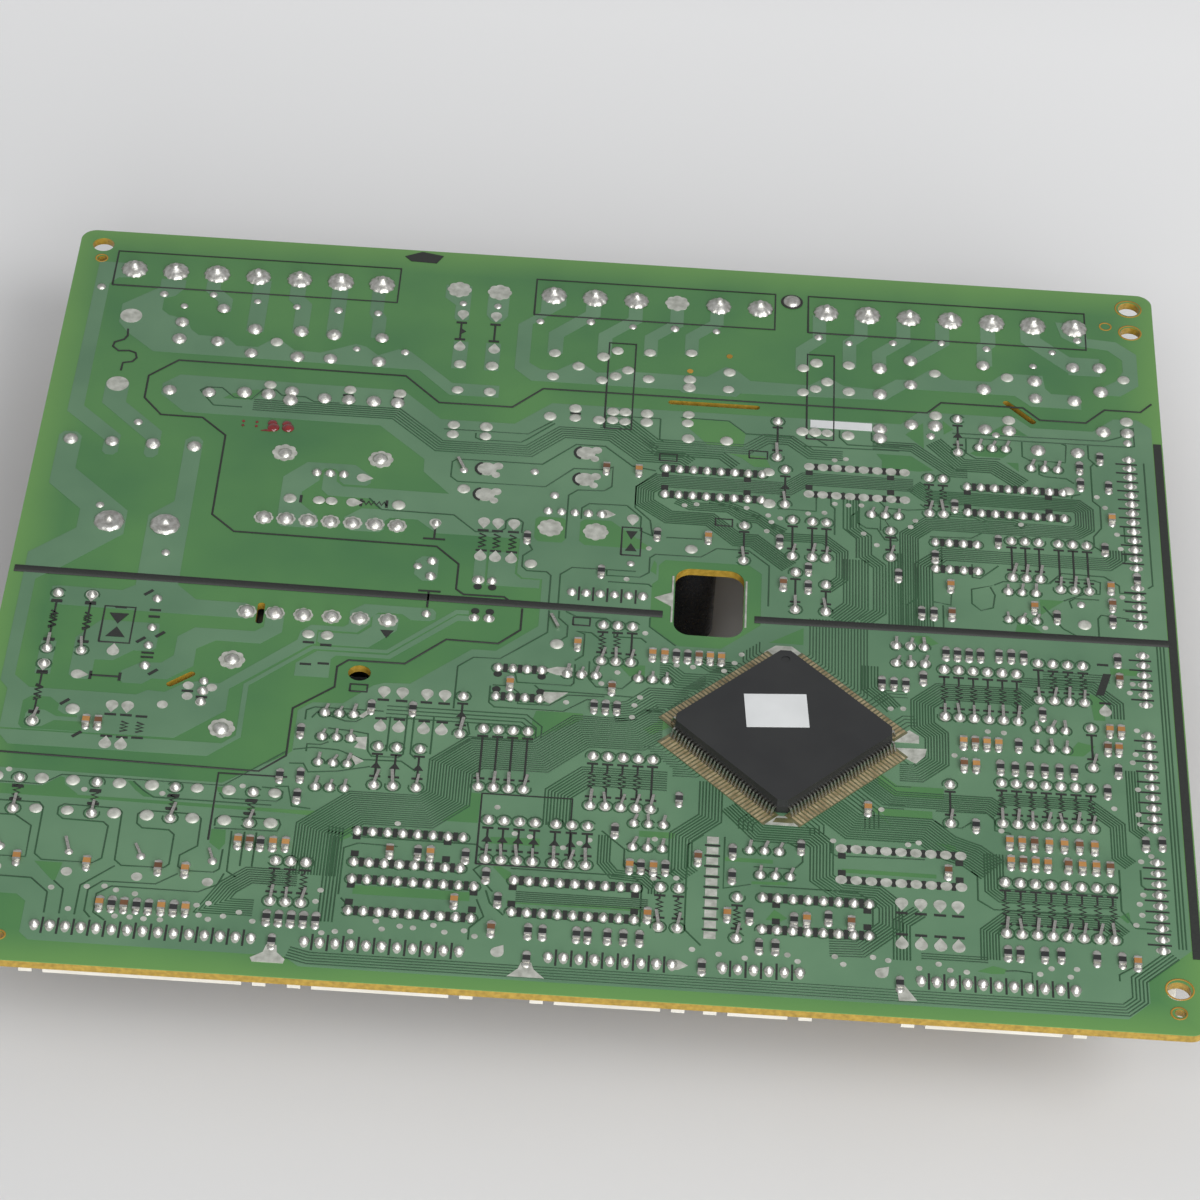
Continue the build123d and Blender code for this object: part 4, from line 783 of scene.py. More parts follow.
# Bare laminate inside the copper
BARE_PATCHES = [
    [(-97.2, -36.3), (-95.9, -35), (-92.6, -35), (-90.9, -36.6), (-90.9, -38.2), (-89.8, -39),
     (-87.4, -39.2), (-87.4, -39.7), (-91, -39.7), (-93.2, -38.3), (-95.8, -38.3), (-96.3, -39.5),
     (-96.3, -42), (-95, -42.7), (-93.2, -42.4), (-91.2, -40.7), (-86.2, -40.7), (-86.2, -43.1),
     (-96.5, -43.1), (-97.2, -42.2)],
    [(-71.8, 48.3), (-66.3, 48.2), (-64.5, 50.8), (-65.6, 51.4), (-70.2, 49.8)],
    [(-11.6, 14.6), (-10.9, 13.6), (-6.6, 13.6), (-5.9, 14.6), (-5.9, 19.6), (-6.6, 20.4), (-10.9, 20.4),
     (-11.6, 19.6)],
    [(-3.4, 14.4), (-2.4, 13.4), (10.1, 13.2), (2.2, 20.4), (-2.6, 20.4), (-3.4, 19.6)],
    [(5.8, 14.7), (8.2, 15.8), (5.2, 15.8)],
    [(56.2, 50.3), (59.5, 54), (59.6, 46.5)],
    [(63.2, 55), (65.2, 52.7), (63.4, 51)],
    [(71.5, 51.9), (74.8, 55), (76, 55), (79.2, 52), (76, 52.2)],
    [(14, 51), (14.4, 49.6), (19.3, 43.6), (25.8, 43.6), (26.2, 47.5), (23, 50.9)],
    [(50.7, 44.1), (57.2, 44.1), (61.3, 40.4), (58.5, 39.8), (51.7, 40.3), (51.7, 42.4)],
    [(23.3, 41.5), (30, 41.3), (31, 38.3), (28, 38.2), (25.5, 40.6)],
    [(75, 44), (77.2, 44), (77.2, 41.6)],
    [(68.2, 46), (71.4, 48.8), (74.4, 48.8), (75.6, 46.6), (74.4, 45.3), (69.4, 45.3)],
    [(10.4, 10.4), (10.9, 9.5), (10.9, 6.5), (9.8, 7.5)],
    [(31.5, -9.6), (37.6, -5.2), (37.6, -9.6)],
    [(80, 6.4), (84.4, 6.4), (80.2, 2.4)],
    [(75.8, -0.6), (78.2, -0.6), (80.4, -2.6), (75.4, -2.6)],
    [(56.7, -5.4), (59.8, -5.2), (61.6, -7), (58.6, -8.6)],
    [(62, -43.6), (54, -43.6), (50.5, -40.2), (50.8, -43.4), (53.5, -46.3), (62, -46.3)],
    [(50.4, -49.4), (60, -49.4), (60, -51.2), (52, -51.2)],
    [(53, -53.4), (50, -50.2), (50, -48.8)],
    [(88, -17.5), (90.6, -19), (90.6, -24.2), (88.6, -24.2)],
    [(92, -10.6), (96.8, -10.6), (96.8, -12.2), (92, -12.2)],
    [(85.6, -30), (88.6, -30.8), (86.4, -33.5), (83.4, -33.6)],
    [(-8.6, -30.6), (-0.5, -30.8), (-0.5, -32.2), (-9.2, -38.4), (-9.2, -33)],
    [(-12, -36.4), (-10.4, -36.4), (-9, -38.6), (-14, -38.6)],
    [(5, -17.6), (9.8, -17.6), (9.8, -20.4), (7.2, -20.6)],
    [(10, -33.6), (13.4, -30.8), (14.6, -32.8), (11.4, -34.9)],
    [(-101, -56.7), (-91, -56.7), (-88.2, -54.2), (-87.5, -54.4), (-87.2, -56), (-84.8, -58.2),
     (-84.8, -59.1), (-101, -59.1)],
    [(-84.8, -58.4), (-50, -58.7), (-44.2, -58.6), (-45.2, -59.7), (-50, -59.5), (-84.8, -59.1)],
    [(-76.8, -54.3), (-75.6, -54.3), (-73.4, -56.6), (-71.5, -57.8), (-73.6, -57.8), (-75.2, -56.4)],
    [(-61.8, -54.4), (-60.6, -54.4), (-60.6, -55.6), (-61.2, -55.6)],
    [(-89.8, -74.4), (-85.1, -74.4), (-85.8, -78.6), (-86.4, -78.5)],
    [(-36.6, -75.3), (-17.2, -75.3), (-17.2, -77.3), (-36.6, -77.3)],
    [(-39.8, -63.2), (-37.9, -61.4), (-37.9, -64), (-39.8, -65.4)],
    [(-18.8, -51.8), (-18.8, -54.8), (-23.2, -59), (-17, -59), (-16.8, -52)],
    [(-14.6, -62.1), (-6.3, -61.8), (-6.3, -63.6), (-14.8, -63.6)],
    [(-12.6, -68.8), (-10.6, -70.2), (-11, -72.6), (-13.8, -69)],
    [(-11, -76.6), (13, -76.3), (13, -77.2), (-11, -77.2)],
    [(10.3, -58.4), (16.4, -58.4), (16.2, -59.8), (10.3, -59.8)],
    [(24.8, -63.3), (33, -63.3), (33, -64.2), (24.8, -64.2)],
    [(44.6, -64.3), (60.5, -64.3), (60.5, -65.2), (44.6, -65.2)],
    [(29.5, -68.6), (35.5, -68.3), (35.5, -69), (29.5, -69.2)],
    [(33.4, -74.8), (35.6, -76.6), (34.5, -77.4), (32, -77.2)],
    [(69.6, -84.4), (71.8, -85), (71.4, -86), (69.4, -86.2), (67, -85.8)],
    [(91, -71.4), (92.6, -70.2), (92.8, -72.2), (92.3, -72.8)],
    [(60.6, -56.8), (62.6, -58.4), (64.8, -58.8), (63.4, -57.2)],
    [(-61.4, -64.4), (-59, -64.4), (-58.8, -67.6), (-59.6, -69.2), (-61.4, -67.6)],
]

# Single etched gaps
GAPS = [
    # coil and relay drive
    [(-76.3, 50.2), (-75.2, 51.2), (-72.3, 51.3), (-69.8, 48.7), (-66.5, 48.4), (-64.6, 51.6),
     (-62.2, 51.6), (-61, 50.2), (-56.5, 50.1), (-54.8, 48.9), (-50, 48.9)],
    [(-76.3, 50.2), (-73.4, 46.1), (-68, 46)],
    [(-30, 43.4), (-14.3, 43.4), (-10, 47.5)],
    [(-24, 42.8), (-24, 41.5), (-23, 40.9), (-15.5, 40.9), (-14.3, 42), (-9.5, 47)],
    [(-11.2, 35), (-27, 35), (-27.8, 34.2), (-27.8, 30), (-26.5, 28.7), (-10.3, 28.7), (-5.3, 34.4),
     (0.8, 34.6)],
    [(-11.2, 35), (-5.2, 41.3), (0.2, 41.3), (5.4, 36.2), (9.8, 35.2)],
    [(0.8, 34.6), (1.9, 35.6), (1.9, 30), (0.5, 28.6), (-4.3, 28.4), (-5.9, 26.8), (-5.9, 14.8)],
    [(4.9, 24.9), (-2, 24.8), (-3.3, 23.5), (-3.3, 20.5)],
    [(4.9, 24.9), (7.6, 22), (7.6, 18.2), (9.8, 17)],
    [(-39.8, 19.5), (-26.5, 19.3), (-22.3, 15.1), (-18.2, 15.2), (-16.9, 16.5), (-16.9, 18.6),
     (-16.2, 19.3), (-14.7, 19.3), (-13.8, 18.5), (-13.9, 15.6)],
    [(-42.2, 22.5), (-39.8, 19.6)],
    [(-12.3, 12.5), (-11.7, 11.2), (-13.3, 9.4), (-13.3, 6.5), (-12.4, 5.4), (-8.8, 5.4), (-8, 4.5),
     (-8, -2.9)],
    [(-6.3, -2.9), (-6.3, 5), (-4.3, 7), (-0.4, 7), (7.2, 7)],
    [(2, 7), (2, 5.5), (8, 5.5), (9.6, 7), (9.6, 11), (10.6, 12), (18.8, 12), (21.6, 14.6), (27.4, 14.6),
     (31.2, 10.8), (31.2, 0)],
    [(12.4, 16.8), (18.9, 16.9)],
    [(9.8, 17), (9.3, 21.2), (6.4, 24.6), (6.4, 30.4), (10, 34.6)],
    [(2.3, 3.8), (9.6, 3.8), (10.2, 3.2)],
    # back edge of the logic side
    [(10.2, 50.3), (0, 50.3), (0, 46.6), (4.8, 46.6)],
    [(10.2, 50.3), (10.2, 44.5), (11, 43.6), (19, 43.5)],
    [(14, 51), (23, 50.9), (26.3, 47.5), (34.5, 47.5), (37, 45), (55, 45.3)],
    [(38.4, 50.2), (38.4, 48.2), (41.5, 45.6)],
    [(43.8, 50.2), (43.8, 48.2), (45.3, 46.2), (55, 46.2)],
    [(49.8, 50.2), (49.8, 47.9), (50.8, 47), (57.4, 47)],
    [(65.5, 50.3), (98, 50.6), (99.2, 51), (99.2, 56.3), (96.8, 55.5), (96.8, 53.5), (93.5, 51.9),
     (65, 51.5)],
    [(67.5, 50.3), (67.5, 46), (69.2, 44.6), (73.8, 44.8)],
    [(78, 50.3), (78, 46), (79.4, 45), (86, 45), (86.3, 50), (85, 50.6)],
    [(90.4, 50.4), (90.4, 46.6), (92, 44.4)],
    # round the upper chips
    [(81, 44), (81, 41.2), (82, 40.6), (86, 40.4), (87.4, 39.2)],
    [(88.5, 36.2), (87, 35.6), (86.8, 34.9)],
    [(91.5, 45.5), (90.7, 44.3), (90.7, 34.5), (92, 33), (92, 27), (90.5, 24.5), (90.5, 21.8),
     (92.2, 20.2)],
    [(39.6, 30.4), (39.6, 26.7), (32.5, 26.7)],
    [(42.3, 32.5), (42.3, 28.6), (43, 27.8), (43, 20.5)],
    [(44.6, 32.5), (44.6, 22.5), (47, 19.8), (47, 14.5)],
    [(47.4, 32.5), (47.4, 27.5), (46, 26), (46, 22.8)],
    [(58.8, 30.5), (60, 29.2), (56.5, 28.6), (52.5, 28.8), (51, 30.8)],
    [(47.2, 27.4), (47.2, 24.2), (48.8, 22.9), (50.8, 22.9), (52.2, 20), (54.5, 19.8)],
    [(51.4, 22.5), (51.4, 27.4), (54.6, 20)],
    [(60.4, 21.6), (68, 21.9), (70, 23.5), (74, 23.5)],
    [(62.5, 12.3), (62.5, 19)],
    [(68, 11.2), (68, 14.8)],
    [(72.8, 14.8), (69.4, 11), (68, 11.2)],
    [(71.9, 9.5), (73.6, 10.6), (81.8, 10.8), (84.2, 13.8), (92, 13.6), (94.6, 11.4), (94.6, 9.5),
     (99, 9.4)],
    [(67.8, 8), (71.9, 9.5), (67.8, 8), (67.8, 4.2), (69.4, 2.4), (71.6, 3.4), (72, 6.8), (71.2, 8.9)],
    [(84.4, 6.4), (88.6, 8.8), (91, 8.8), (91.2, 12), (90, 12.4), (83.2, 12.4), (82, 10.9)],
    [(85.8, 4.6), (85.4, 6.4), (86.4, 7.2), (90.8, 7.2)],
    [(95.3, 7.4), (99.3, 7.2)],
    [(95, 5), (99.3, 5)],
    [(96, 2.6), (91, 3.2), (90.4, 2.2), (90.4, -2.7)],
    [(80.6, 4.6), (84, -1), (86.5, -2.8)],
    [(56, -2.8), (56, 2.6), (58, 4.8), (58, 13)],
    [(60.6, 4), (64, 3.4), (64.2, 7.8)],
    [(62.6, 3.2), (62.6, -2.8)],
    [(100.7, 46.2), (100.7, 12), (99.8, 11.2)],
    [(96.2, 28), (96.2, 23.4), (99.4, 23)],
    [(96.2, 18.4), (96.2, 20.4), (99.4, 20.4)],
    # below the window and the optocoupler
    [(-23, -31.5), (-23, -20.8), (-20.4, -18.3), (-15.7, -18.2), (-7.8, -10.6), (-7.8, -4.8)],
    [(-6, -4.8), (-6, -6.6), (-4.3, -8.5), (-4.3, -11.3), (-6.6, -13.6)],
    [(-4.8, -4.8), (-2.9, -6), (2.4, -6), (4, -7.5), (4, -10.6), (8.8, -10.6), (9.8, -11.6)],
    [(-2.6, -17.4), (-1.2, -16), (-1.2, -10.4), (-2.6, -9.8), (0, -10), (2, -12)],
    [(-12.9, -21.6), (-12.4, -23.9), (-3, -24), (-2.5, -23.2), (-2.5, -18.4)],
    [(-17, -25.2), (-17, -29.4), (-16, -30.5), (-4, -30.6), (0, -27.2), (1.2, -27.2)],
    [(-16.6, -25), (-13.6, -25), (-12, -26.5), (-12, -29.3), (-6.5, -29.3), (-3.4, -26.4), (3, -26.2)],
    [(-9.3, -24.4), (-8.3, -25.5), (3, -25.7), (8, -25.9)],
    [(0, -17.4), (0, -21.8), (1.4, -23.8), (6, -23.9), (8, -21.2)],
    [(10.2, -5), (10.2, -7.4), (15, -12)],
    # driver transistors beside the chip rows
    [(-47.4, -44.4), (-47.4, -42.6), (-45, -42.6), (-43.8, -41.8)],
    [(-48.3, -36.6), (-48.3, -34.2), (-46.9, -33.4), (-35, -33.4)],
    [(-47.2, -36), (-46.4, -34.6), (-41.4, -36.4), (-39.5, -36.4), (-37.4, -34.4)],
    [(-44.2, -38.4), (-39.6, -38.8), (-37.2, -39.2), (-36.9, -43.4), (-36.2, -44.6), (-31.6, -44.6),
     (-30.8, -43.6), (-30.8, -33.8)],
    [(-33.7, -34.6), (-33.7, -43.2)],
    [(-29.6, -34), (-29.6, -43.4), (-28.6, -44.6)],
    [(-26.2, -43.2), (-26.2, -34)],
    [(-25.8, -44.8), (-19.2, -38.6), (-8.8, -38.6)],
    [(-20.4, -34.6), (-19.8, -37.6), (-20.8, -38.8)],
    [(-49.6, -44.2), (-46.4, -43.4), (-42, -43.6), (-37.5, -45.6), (-31, -45.4), (-28.4, -47.6)],
    [(-50, -47.6), (-47.6, -47.4), (-46.6, -49.4), (-41.6, -48.8), (-36.2, -47.2)],
    [(-51.8, -53.4), (-49.6, -53.2), (-48.6, -57.8), (-45.4, -58.2)],
    # filter parts on the front left
    [(-101, -56.3), (-91.2, -56.4), (-88, -53.8), (-60.6, -54), (-50.6, -44.6)],
    [(-75.8, -54.3), (-73.8, -56.4), (-72, -57.8), (-52, -58)],
    [(-61, -55.8), (-60.2, -57), (-51.2, -57), (-50.4, -56), (-50.4, -54.6), (-51.4, -53.9), (-54, -53.8)],
    [(-101, -60.7), (-90.9, -60.7), (-90.1, -61.7), (-90, -72.7), (-88.7, -74), (-80.2, -74.1),
     (-78.8, -72.8), (-78.7, -65.3), (-79.6, -64.4), (-86.5, -64.2), (-87.5, -63.2), (-87.5, -61.5),
     (-86.7, -60.8), (-77.6, -61), (-76.8, -61.8), (-76.6, -73), (-75.4, -74.2), (-68.3, -74.2),
     (-67.5, -73.2), (-67.5, -66.3), (-68.5, -65.3), (-73, -65.2), (-74, -64.2), (-74.1, -62),
     (-73.2, -61.1), (-64.3, -61.2), (-63.4, -62.2), (-63.3, -68.6), (-66, -71), (-66, -73.6), (-65, -74.5),
     (-60, -74.5), (-59.1, -73.6), (-59, -69)],
    [(-61, -63.6), (-61, -62), (-60.2, -61.2), (-50.4, -61.3), (-50, -62.4), (-50.4, -64), (-61, -64.2)],
    [(-101, -64), (-94.5, -64), (-91.5, -66.3), (-91.4, -73.6), (-96, -73.7)],
    [(-97, -78.2), (-89.8, -78.3), (-86.7, -81.3), (-86.6, -86)],
    [(-86, -78.6), (-84.2, -80.4), (-84.1, -86)],
    [(-76.4, -74.4), (-81.5, -79.3), (-81.6, -86)],
    [(-65.8, -75.3), (-69.2, -78), (-78, -78.1), (-80.1, -80.2), (-80.1, -85), (-79, -86.4)],
    [(-76.6, -86.8), (-78.6, -85.2), (-78.6, -81), (-76.3, -79.1), (-62, -79.2), (-59, -77.2),
     (-58.2, -74.6)],
    [(-58, -64.6), (-57.8, -74), (-56.2, -75.2)],
    [(-55.8, -64.6), (-55.8, -72.6)],
    [(-53.8, -64.6), (-53.8, -72.6)],
    # round the front chips
    [(-36.6, -64.1), (-17, -64.1), (-15.4, -65.4), (-15.4, -68.4), (-17, -70), (-13.5, -74.8)],
    [(-38.9, -77.6), (-38.9, -66.8), (-36.6, -65.6), (-30, -65.8)],
    [(-38.4, -78.4), (-37.6, -79.4), (-37.6, -82)],
    [(-16, -76.8), (-14.6, -80.6), (-16.8, -83.4), (-16.8, -86)],
    [(-11.4, -80), (-13.8, -77.4), (-14.6, -74.6)],
    [(-10.8, -69.2), (9.6, -69.2), (11.2, -70.8), (11.2, -80.6)],
    [(4, -59), (8, -63), (8, -66.8), (8.8, -68.6), (15.6, -68.4), (16.6, -66.8)],
    [(24.8, -58.6), (24.8, -70.6), (29.4, -69.4)],
    [(21.2, -58.4), (18.6, -61), (18.6, -80.6), (21.4, -84)],
    [(29.8, -65.2), (36.6, -65.2), (38, -63.4), (38, -60.6), (35.4, -59)],
    [(42.8, -57.6), (42.8, -60.6), (43.6, -61.4), (58.6, -61)],
    [(49.8, -77.4), (49.8, -71.6), (47, -69.6), (31, -69.6)],
    [(60.6, -49.2), (69.4, -49), (70.6, -50.4), (70.6, -53), (73.2, -53.4), (73.2, -56.8)],
    [(60.4, -51.6), (62, -53), (65, -53), (66.6, -51.4)],
    [(66.4, -63), (67.4, -64), (67.4, -69.6), (70, -71.6), (91, -71.4)],
    [(91.4, -60.5), (91.4, -70), (93.6, -73.8), (99.5, -74)],
    [(95, -60.2), (95, -63.8), (96, -64.8), (99.8, -64.6)],
    [(71.6, -85.4), (73.4, -85.2), (76, -85.4), (76, -88)],
    [(93, -82.6), (90.4, -84.6), (90.4, -86)],
]

# Bundles of parallel etched gaps: count, spacing and middle path
GAP_BUNDLES = [
    (6, 0.6, [(-66, 46.9), (-39.2, 46.9), (-30.6, 38.5), (-13.9, 38.5), (-8, 44.6), (1.4, 44.6), (7, 39.2),
              (14.5, 39.2), (16, 38)]),
    (5, 0.62, [(3.4, 49.4), (9.4, 43), (26.6, 43), (30.2, 46.4), (34.6, 46.4), (38.4, 42.8), (44.4, 42.8)]),
    (4, 0.62, [(-1, 47.6), (2.6, 47.6), (9.8, 40.8), (21.8, 40.8), (24.6, 38)]),
    (8, 0.47, [(57.5, 35.6), (37.6, 35.6), (34.4, 32.5), (10.8, 32.5), (8, 29.8), (8, 26.3), (12.6, 22.5),
               (20.2, 22.5), (25.2, 17.4), (28.3, 17.4), (34.8, 10.9)]),
    (5, 0.5, [(14, 27.4), (16.6, 25.9), (23.6, 25.9), (26.4, 23.6), (29.2, 23.4), (33.6, 19), (41.2, 19),
              (44.4, 15.8), (44.4, 8.6), (41.8, 5.6)]),
    (3, 0.55, [(20, 27.8), (24.6, 26.6), (28.6, 24.6), (31.2, 22.2), (34, 20.6)]),
    (5, 0.55, [(46.4, 31), (46.4, 22.6), (48.6, 20.4), (48.6, 15.2), (51.2, 12.6), (51.2, 0.4),
               (48.2, -2.8)]),
    (9, 0.55, [(46.9, 14), (46.9, 1.4), (43.4, -2.8)]),
    (5, 0.55, [(54, 16.5), (54, -2.8)]),
    (5, 0.55, [(50, 46.6), (57.5, 46.6), (64.6, 40), (67.6, 40)]),
    (7, 0.55, [(61.4, 48.6), (66.4, 42.4), (72.6, 42.4), (77.8, 37.9)]),
    (8, 0.47, [(57.5, 35.6), (60.4, 32.8), (87.6, 32.8), (89, 31.4), (89, 26.8), (87.2, 25.2), (71.5, 25.2),
               (60.2, 25.2), (56.6, 21.6), (56.6, -2.8)]),
    (3, 0.6, [(63, 28.2), (68.8, 28.2), (71, 27), (76, 27), (78, 26)]),
    (7, 0.52, [(59.2, -2.8), (59.2, 13.4), (62.8, 17), (92.6, 17), (94.4, 18.8), (94.4, 21)]),
    (16, 0.5, [(13.4, -32.6), (11.8, -32.6), (9, -35.2), (-0.6, -35.2), (-7.4, -42.1), (-18.5, -42.1),
               (-22.4, -46), (-22.4, -53.6), (-26, -57.2), (-37.6, -57.2), (-43.6, -63.2), (-43.6, -73.6)]),
    (4, 0.95, [(-34.5, -33.4), (-10.8, -33.4), (-8.9, -35.3), (-8.9, -37.8)]),
    (9, 0.55, [(14.6, -46.2), (0.8, -46.2), (-3.8, -50.8), (-3.8, -58.4)]),
    (7, 0.6, [(20.6, -20.8), (16, -20.8), (13.6, -18.4), (12.4, -18.4)]),
    (5, 0.6, [(25, -16.8), (21.4, -16.8), (19.6, -15.4)]),
    (9, 0.58, [(17.6, -25.6), (11.6, -25.6), (8, -29.2), (4.6, -30)]),
    (9, 0.5, [(54.5, -40.4), (57.6, -40.4), (61, -37), (61, -30.6), (58.6, -28.2), (58.6, -22.8),
              (61.9, -19.5), (75, -19.5), (77.4, -22)]),
    (6, 0.55, [(53.6, -24.6), (52, -22.4), (49.4, -19.6), (49.4, -14)]),
    (8, 0.5, [(49.4, -43.2), (53.2, -46.9), (69.6, -46.9), (71.6, -48.6)]),
    (12, 0.53, [(41, -48.8), (46.4, -54.2), (58.8, -54.2), (62.2, -57.6), (66.6, -59.4), (70, -62.4)]),
    (8, 0.55, [(22.2, -45.6), (22.2, -54.4), (17.4, -59.2), (17.4, -66.8), (19, -68.4)]),
    (8, 0.55, [(25.6, -51), (30.6, -57.2), (39.4, -57.2), (41.2, -59), (41.2, -66.8), (44.4, -69.6),
               (50.4, -69.8), (52.8, -72.2), (52.8, -77), (47.6, -82.4), (42.6, -82.6)]),
    (6, 0.5, [(71.5, -45.4), (86.8, -45.4), (91.6, -50), (91.6, -57.4), (93.4, -59.2)]),
    (5, 0.55, [(75.8, -15.8), (88.6, -15.8), (92.8, -20), (92.8, -23.6)]),
    (4, 0.6, [(80, -13.6), (91.8, -13.6)]),
    (5, 0.5, [(94.6, -36.4), (94.6, -50.6), (96, -52)]),
    (7, 0.52, [(70.2, -58.6), (70.2, -66.8), (71.6, -68.2), (90.6, -68.2)]),
    (7, 0.5, [(69.2, -83), (69.2, -76.8), (72.6, -73.2), (88.8, -73.2), (91.4, -75.8)]),
    (3, 0.55, [(57.8, -83.2), (68.8, -83.2)]),
    (5, 0.62, [(-46, -91.4), (-42.6, -92.4), (91.2, -92.4), (93.6, -90), (93.6, -85.4), (99.6, -79.4)]),
    (3, 0.6, [(101.2, -2.5), (101.2, -78)]),
    (8, 0.5, [(-52.6, -82), (-59.4, -82), (-57.2, -77.6), (-54, -74.6), (-46, -74.6)]),
    (5, 0.6, [(-40.6, -62), (-40.6, -84)]),
    (6, 0.45, [(-9.6, -75.6), (12.4, -75.6)]),
    (5, 0.5, [(4.6, -60), (4.6, -66.4), (6.4, -69), (11.4, -69.4), (13.4, -71.6), (13.4, -73)]),
    (6, 0.55, [(54.6, -84.4), (54.6, -76), (57.6, -73.2)]),
]

# ---------------------------------------------------------------- outlines and paths on the board


def arc(x, y, radius, start=0, end=360, steps=14):
    """Points of an arc, in degrees from +X."""
    angles = [math.radians(start + (end - start) * i / steps) for i in range(steps + 1)]
    return [(x + radius * math.cos(a), y + radius * math.sin(a)) for a in angles]


def disc(x, y, radius, sides=14):
    """The outline of a round plate."""
    return arc(x, y, radius, 0, 360, sides)[:-1]


def oval(x, y, width, depth, sides=14):
    """The outline of an oval plate."""
    return [(x + u * width / 2, y + v * depth / 2) for u, v in disc(0, 0, 1, sides)]


def bar(x, y, width, depth, turn=0):
    """A rectangle about its middle, turned by degrees."""
    c, s = math.cos(math.radians(turn)), math.sin(math.radians(turn))
    right, back = width / 2, depth / 2
    corners = [(-right, -back), (right, -back), (right, back), (-right, back)]
    return [(x + u * c - v * s, y + u * s + v * c) for u, v in corners]


def frame_path(x0, x1, y0, y1):
    """A closed rectangular path."""
    return [(x0, y0), (x1, y0), (x1, y1), (x0, y1), (x0, y0)]


def drop(x, y, radius, turn, reach=1.75):
    """A round pad drawn out to a point, which it turns to in degrees."""
    c, s = math.cos(math.radians(turn)), math.sin(math.radians(turn))
    point = (x + radius * reach * c, y + radius * reach * s)
    return arc(x, y, radius, turn + 50, turn + 310, 12) + [point]


def flower(x, y, radius, petals=8, depth=0.12):
    """A round pad whose rim has petals."""
    points = []
    for i in range(petals * 6):
        angle = math.tau * i / (petals * 6)
        reach = radius * (1 - depth * (1 - abs(math.cos(petals * angle / 2))))
        points.append((x + reach * math.cos(angle), y + reach * math.sin(angle)))
    return points


def beside(path, distance):
    """The path moved sideways with mitred corners."""
    legs = [(Vector(b) - Vector(a)).normalized() for a, b in zip(path, path[1:])]
    moved = []
    for i, (x, y) in enumerate(path):
        a = legs[max(i - 1, 0)]
        b = legs[min(i, len(legs) - 1)]
        reach = distance / max(1 + a.dot(b), 0.4)
        moved.append((x - (a.y + b.y) * reach, y + (a.x + b.x) * reach))
    return moved


def bundle(count, pitch, path):
    """Parallel paths about a middle one."""
    return [beside(path, pitch * (i - (count - 1) / 2)) for i in range(count)]


def grid(xs, ys):
    """Places in rows along X, one row after the other."""
    return [(x, y) for y in ys for x in xs]


def zigzag(x, start, end, swing, steps=6):
    """A zigzag about a line along Y."""
    rise = (end - start) / steps
    return [(x + (swing if i % 2 else -swing), start + rise * i) for i in range(steps + 1)]


def in_row(places, low=2.2, high=2.9, across=0.4):
    """The middles between neighbours in a row, as (x, y, the row runs along X)."""
    found = []
    for x, y in places:
        for u, v in places:
            if low < u - x < high and abs(v - y) < across:
                found.append(((x + u) / 2, (y + v) / 2, True))
            if low < v - y < high and abs(u - x) < across:
                found.append(((x + u) / 2, (y + v) / 2, False))
    return found


# ---------------------------------------------------------------- copper, etched gaps and bare patches

track_outlines = [
    beside(path, width / 2) + beside(path, -width / 2)[::-1] for width, path in MAINS_TRACKS
]
copper_areas = [LOGIC_COPPER_BACK, LOGIC_COPPER_FRONT] + MAINS_COPPER + track_outlines
laid(plates("masked_copper_areas", copper_areas, COPPER, masked_copper))
laid(plates("bare_patches", BARE_PATCHES, BARE, laminate))

# The controller's tracks leave every lead square to its side, then turn along the board.
CONTROLLER = (34.3, -33.5)
LEAD_PITCH = 0.8
LEADS_A_SIDE = 32
PAD_OUTER = 17.4
PAD_INNER = 14.4
FINE_GAP = 0.24
SHORT_REACH = 0.9
SHORT_RUN = 2.5
# Where tracks pass under the thick stripe, and where the bundle left of the controller begins
UNDER_STRIPE = -2.6
LEFT_BUNDLE_EDGE = 15.5


def controller_point(side, along, out):
    """A point beside the controller: which side, how far along it and how far out, as (x, y)."""
    angle = math.radians(45 + 90 * side)
    c, s = math.cos(angle), math.sin(angle)
    return CONTROLLER[0] + out * c - along * s, CONTROLLER[1] + out * s + along * c


# Where a bundle starts at the leads no fan line is drawn: side, and from where to where along it
TAKEN = [(0, -9.2, -5.6), (2, -2.2, 9.0), (3, -9.4, -2.8), (3, 1.6, 6.0), (3, 7.1, 11.7)]
fan = []
for side in range(4):
    for number in range(1, LEADS_A_SIDE):
        along = (number - LEADS_A_SIDE / 2) * LEAD_PITCH
        if any(side == at and low < along < high for at, low, high in TAKEN):
            continue
        # Lines reach farther out from the middle of a side than from its ends.
        edge = LEADS_A_SIDE / 2 - abs(number - LEADS_A_SIDE / 2)
        reach = PAD_OUTER + 1.2 + 0.3 * edge
        run = 1.0 + 0.12 * edge
        start = controller_point(side, along, PAD_OUTER)
        corner = controller_point(side, along, reach)
        end = controller_point(side, along + (run if along > 0 else -run), reach + run)
        near = controller_point(side, along, PAD_OUTER + SHORT_REACH)
        if side == 0 and along > -2.5:
            corner, end = near, (near[0], UNDER_STRIPE)
        elif side == 1 and along > -8:
            corner, end = near, (near[0] - SHORT_RUN, near[1])
        elif side == 1:
            corner, end = near, (near[0], near[1] + SHORT_RUN)
        elif side == 2 and along < 0:
            corner, end = near, (min(near[0] - SHORT_RUN, LEFT_BUNDLE_EDGE), near[1])
        fan.append([start, corner, end])

bundles = [path for group in GAP_BUNDLES for path in bundle(*group)]
# The etched gaps' dark colour holds painted shade of the narrow gaps as well as the mask's own green.
laid(strips("etched_gaps", GAPS, 0.3, GAP, gap_mask_and_painted_shade))
laid(strips("etched_gap_bundles", bundles, 0.27, GAP, gap_mask_and_painted_shade))
laid(strips("controller_fanout", fan, FINE_GAP, GAP, gap_mask_and_painted_shade))
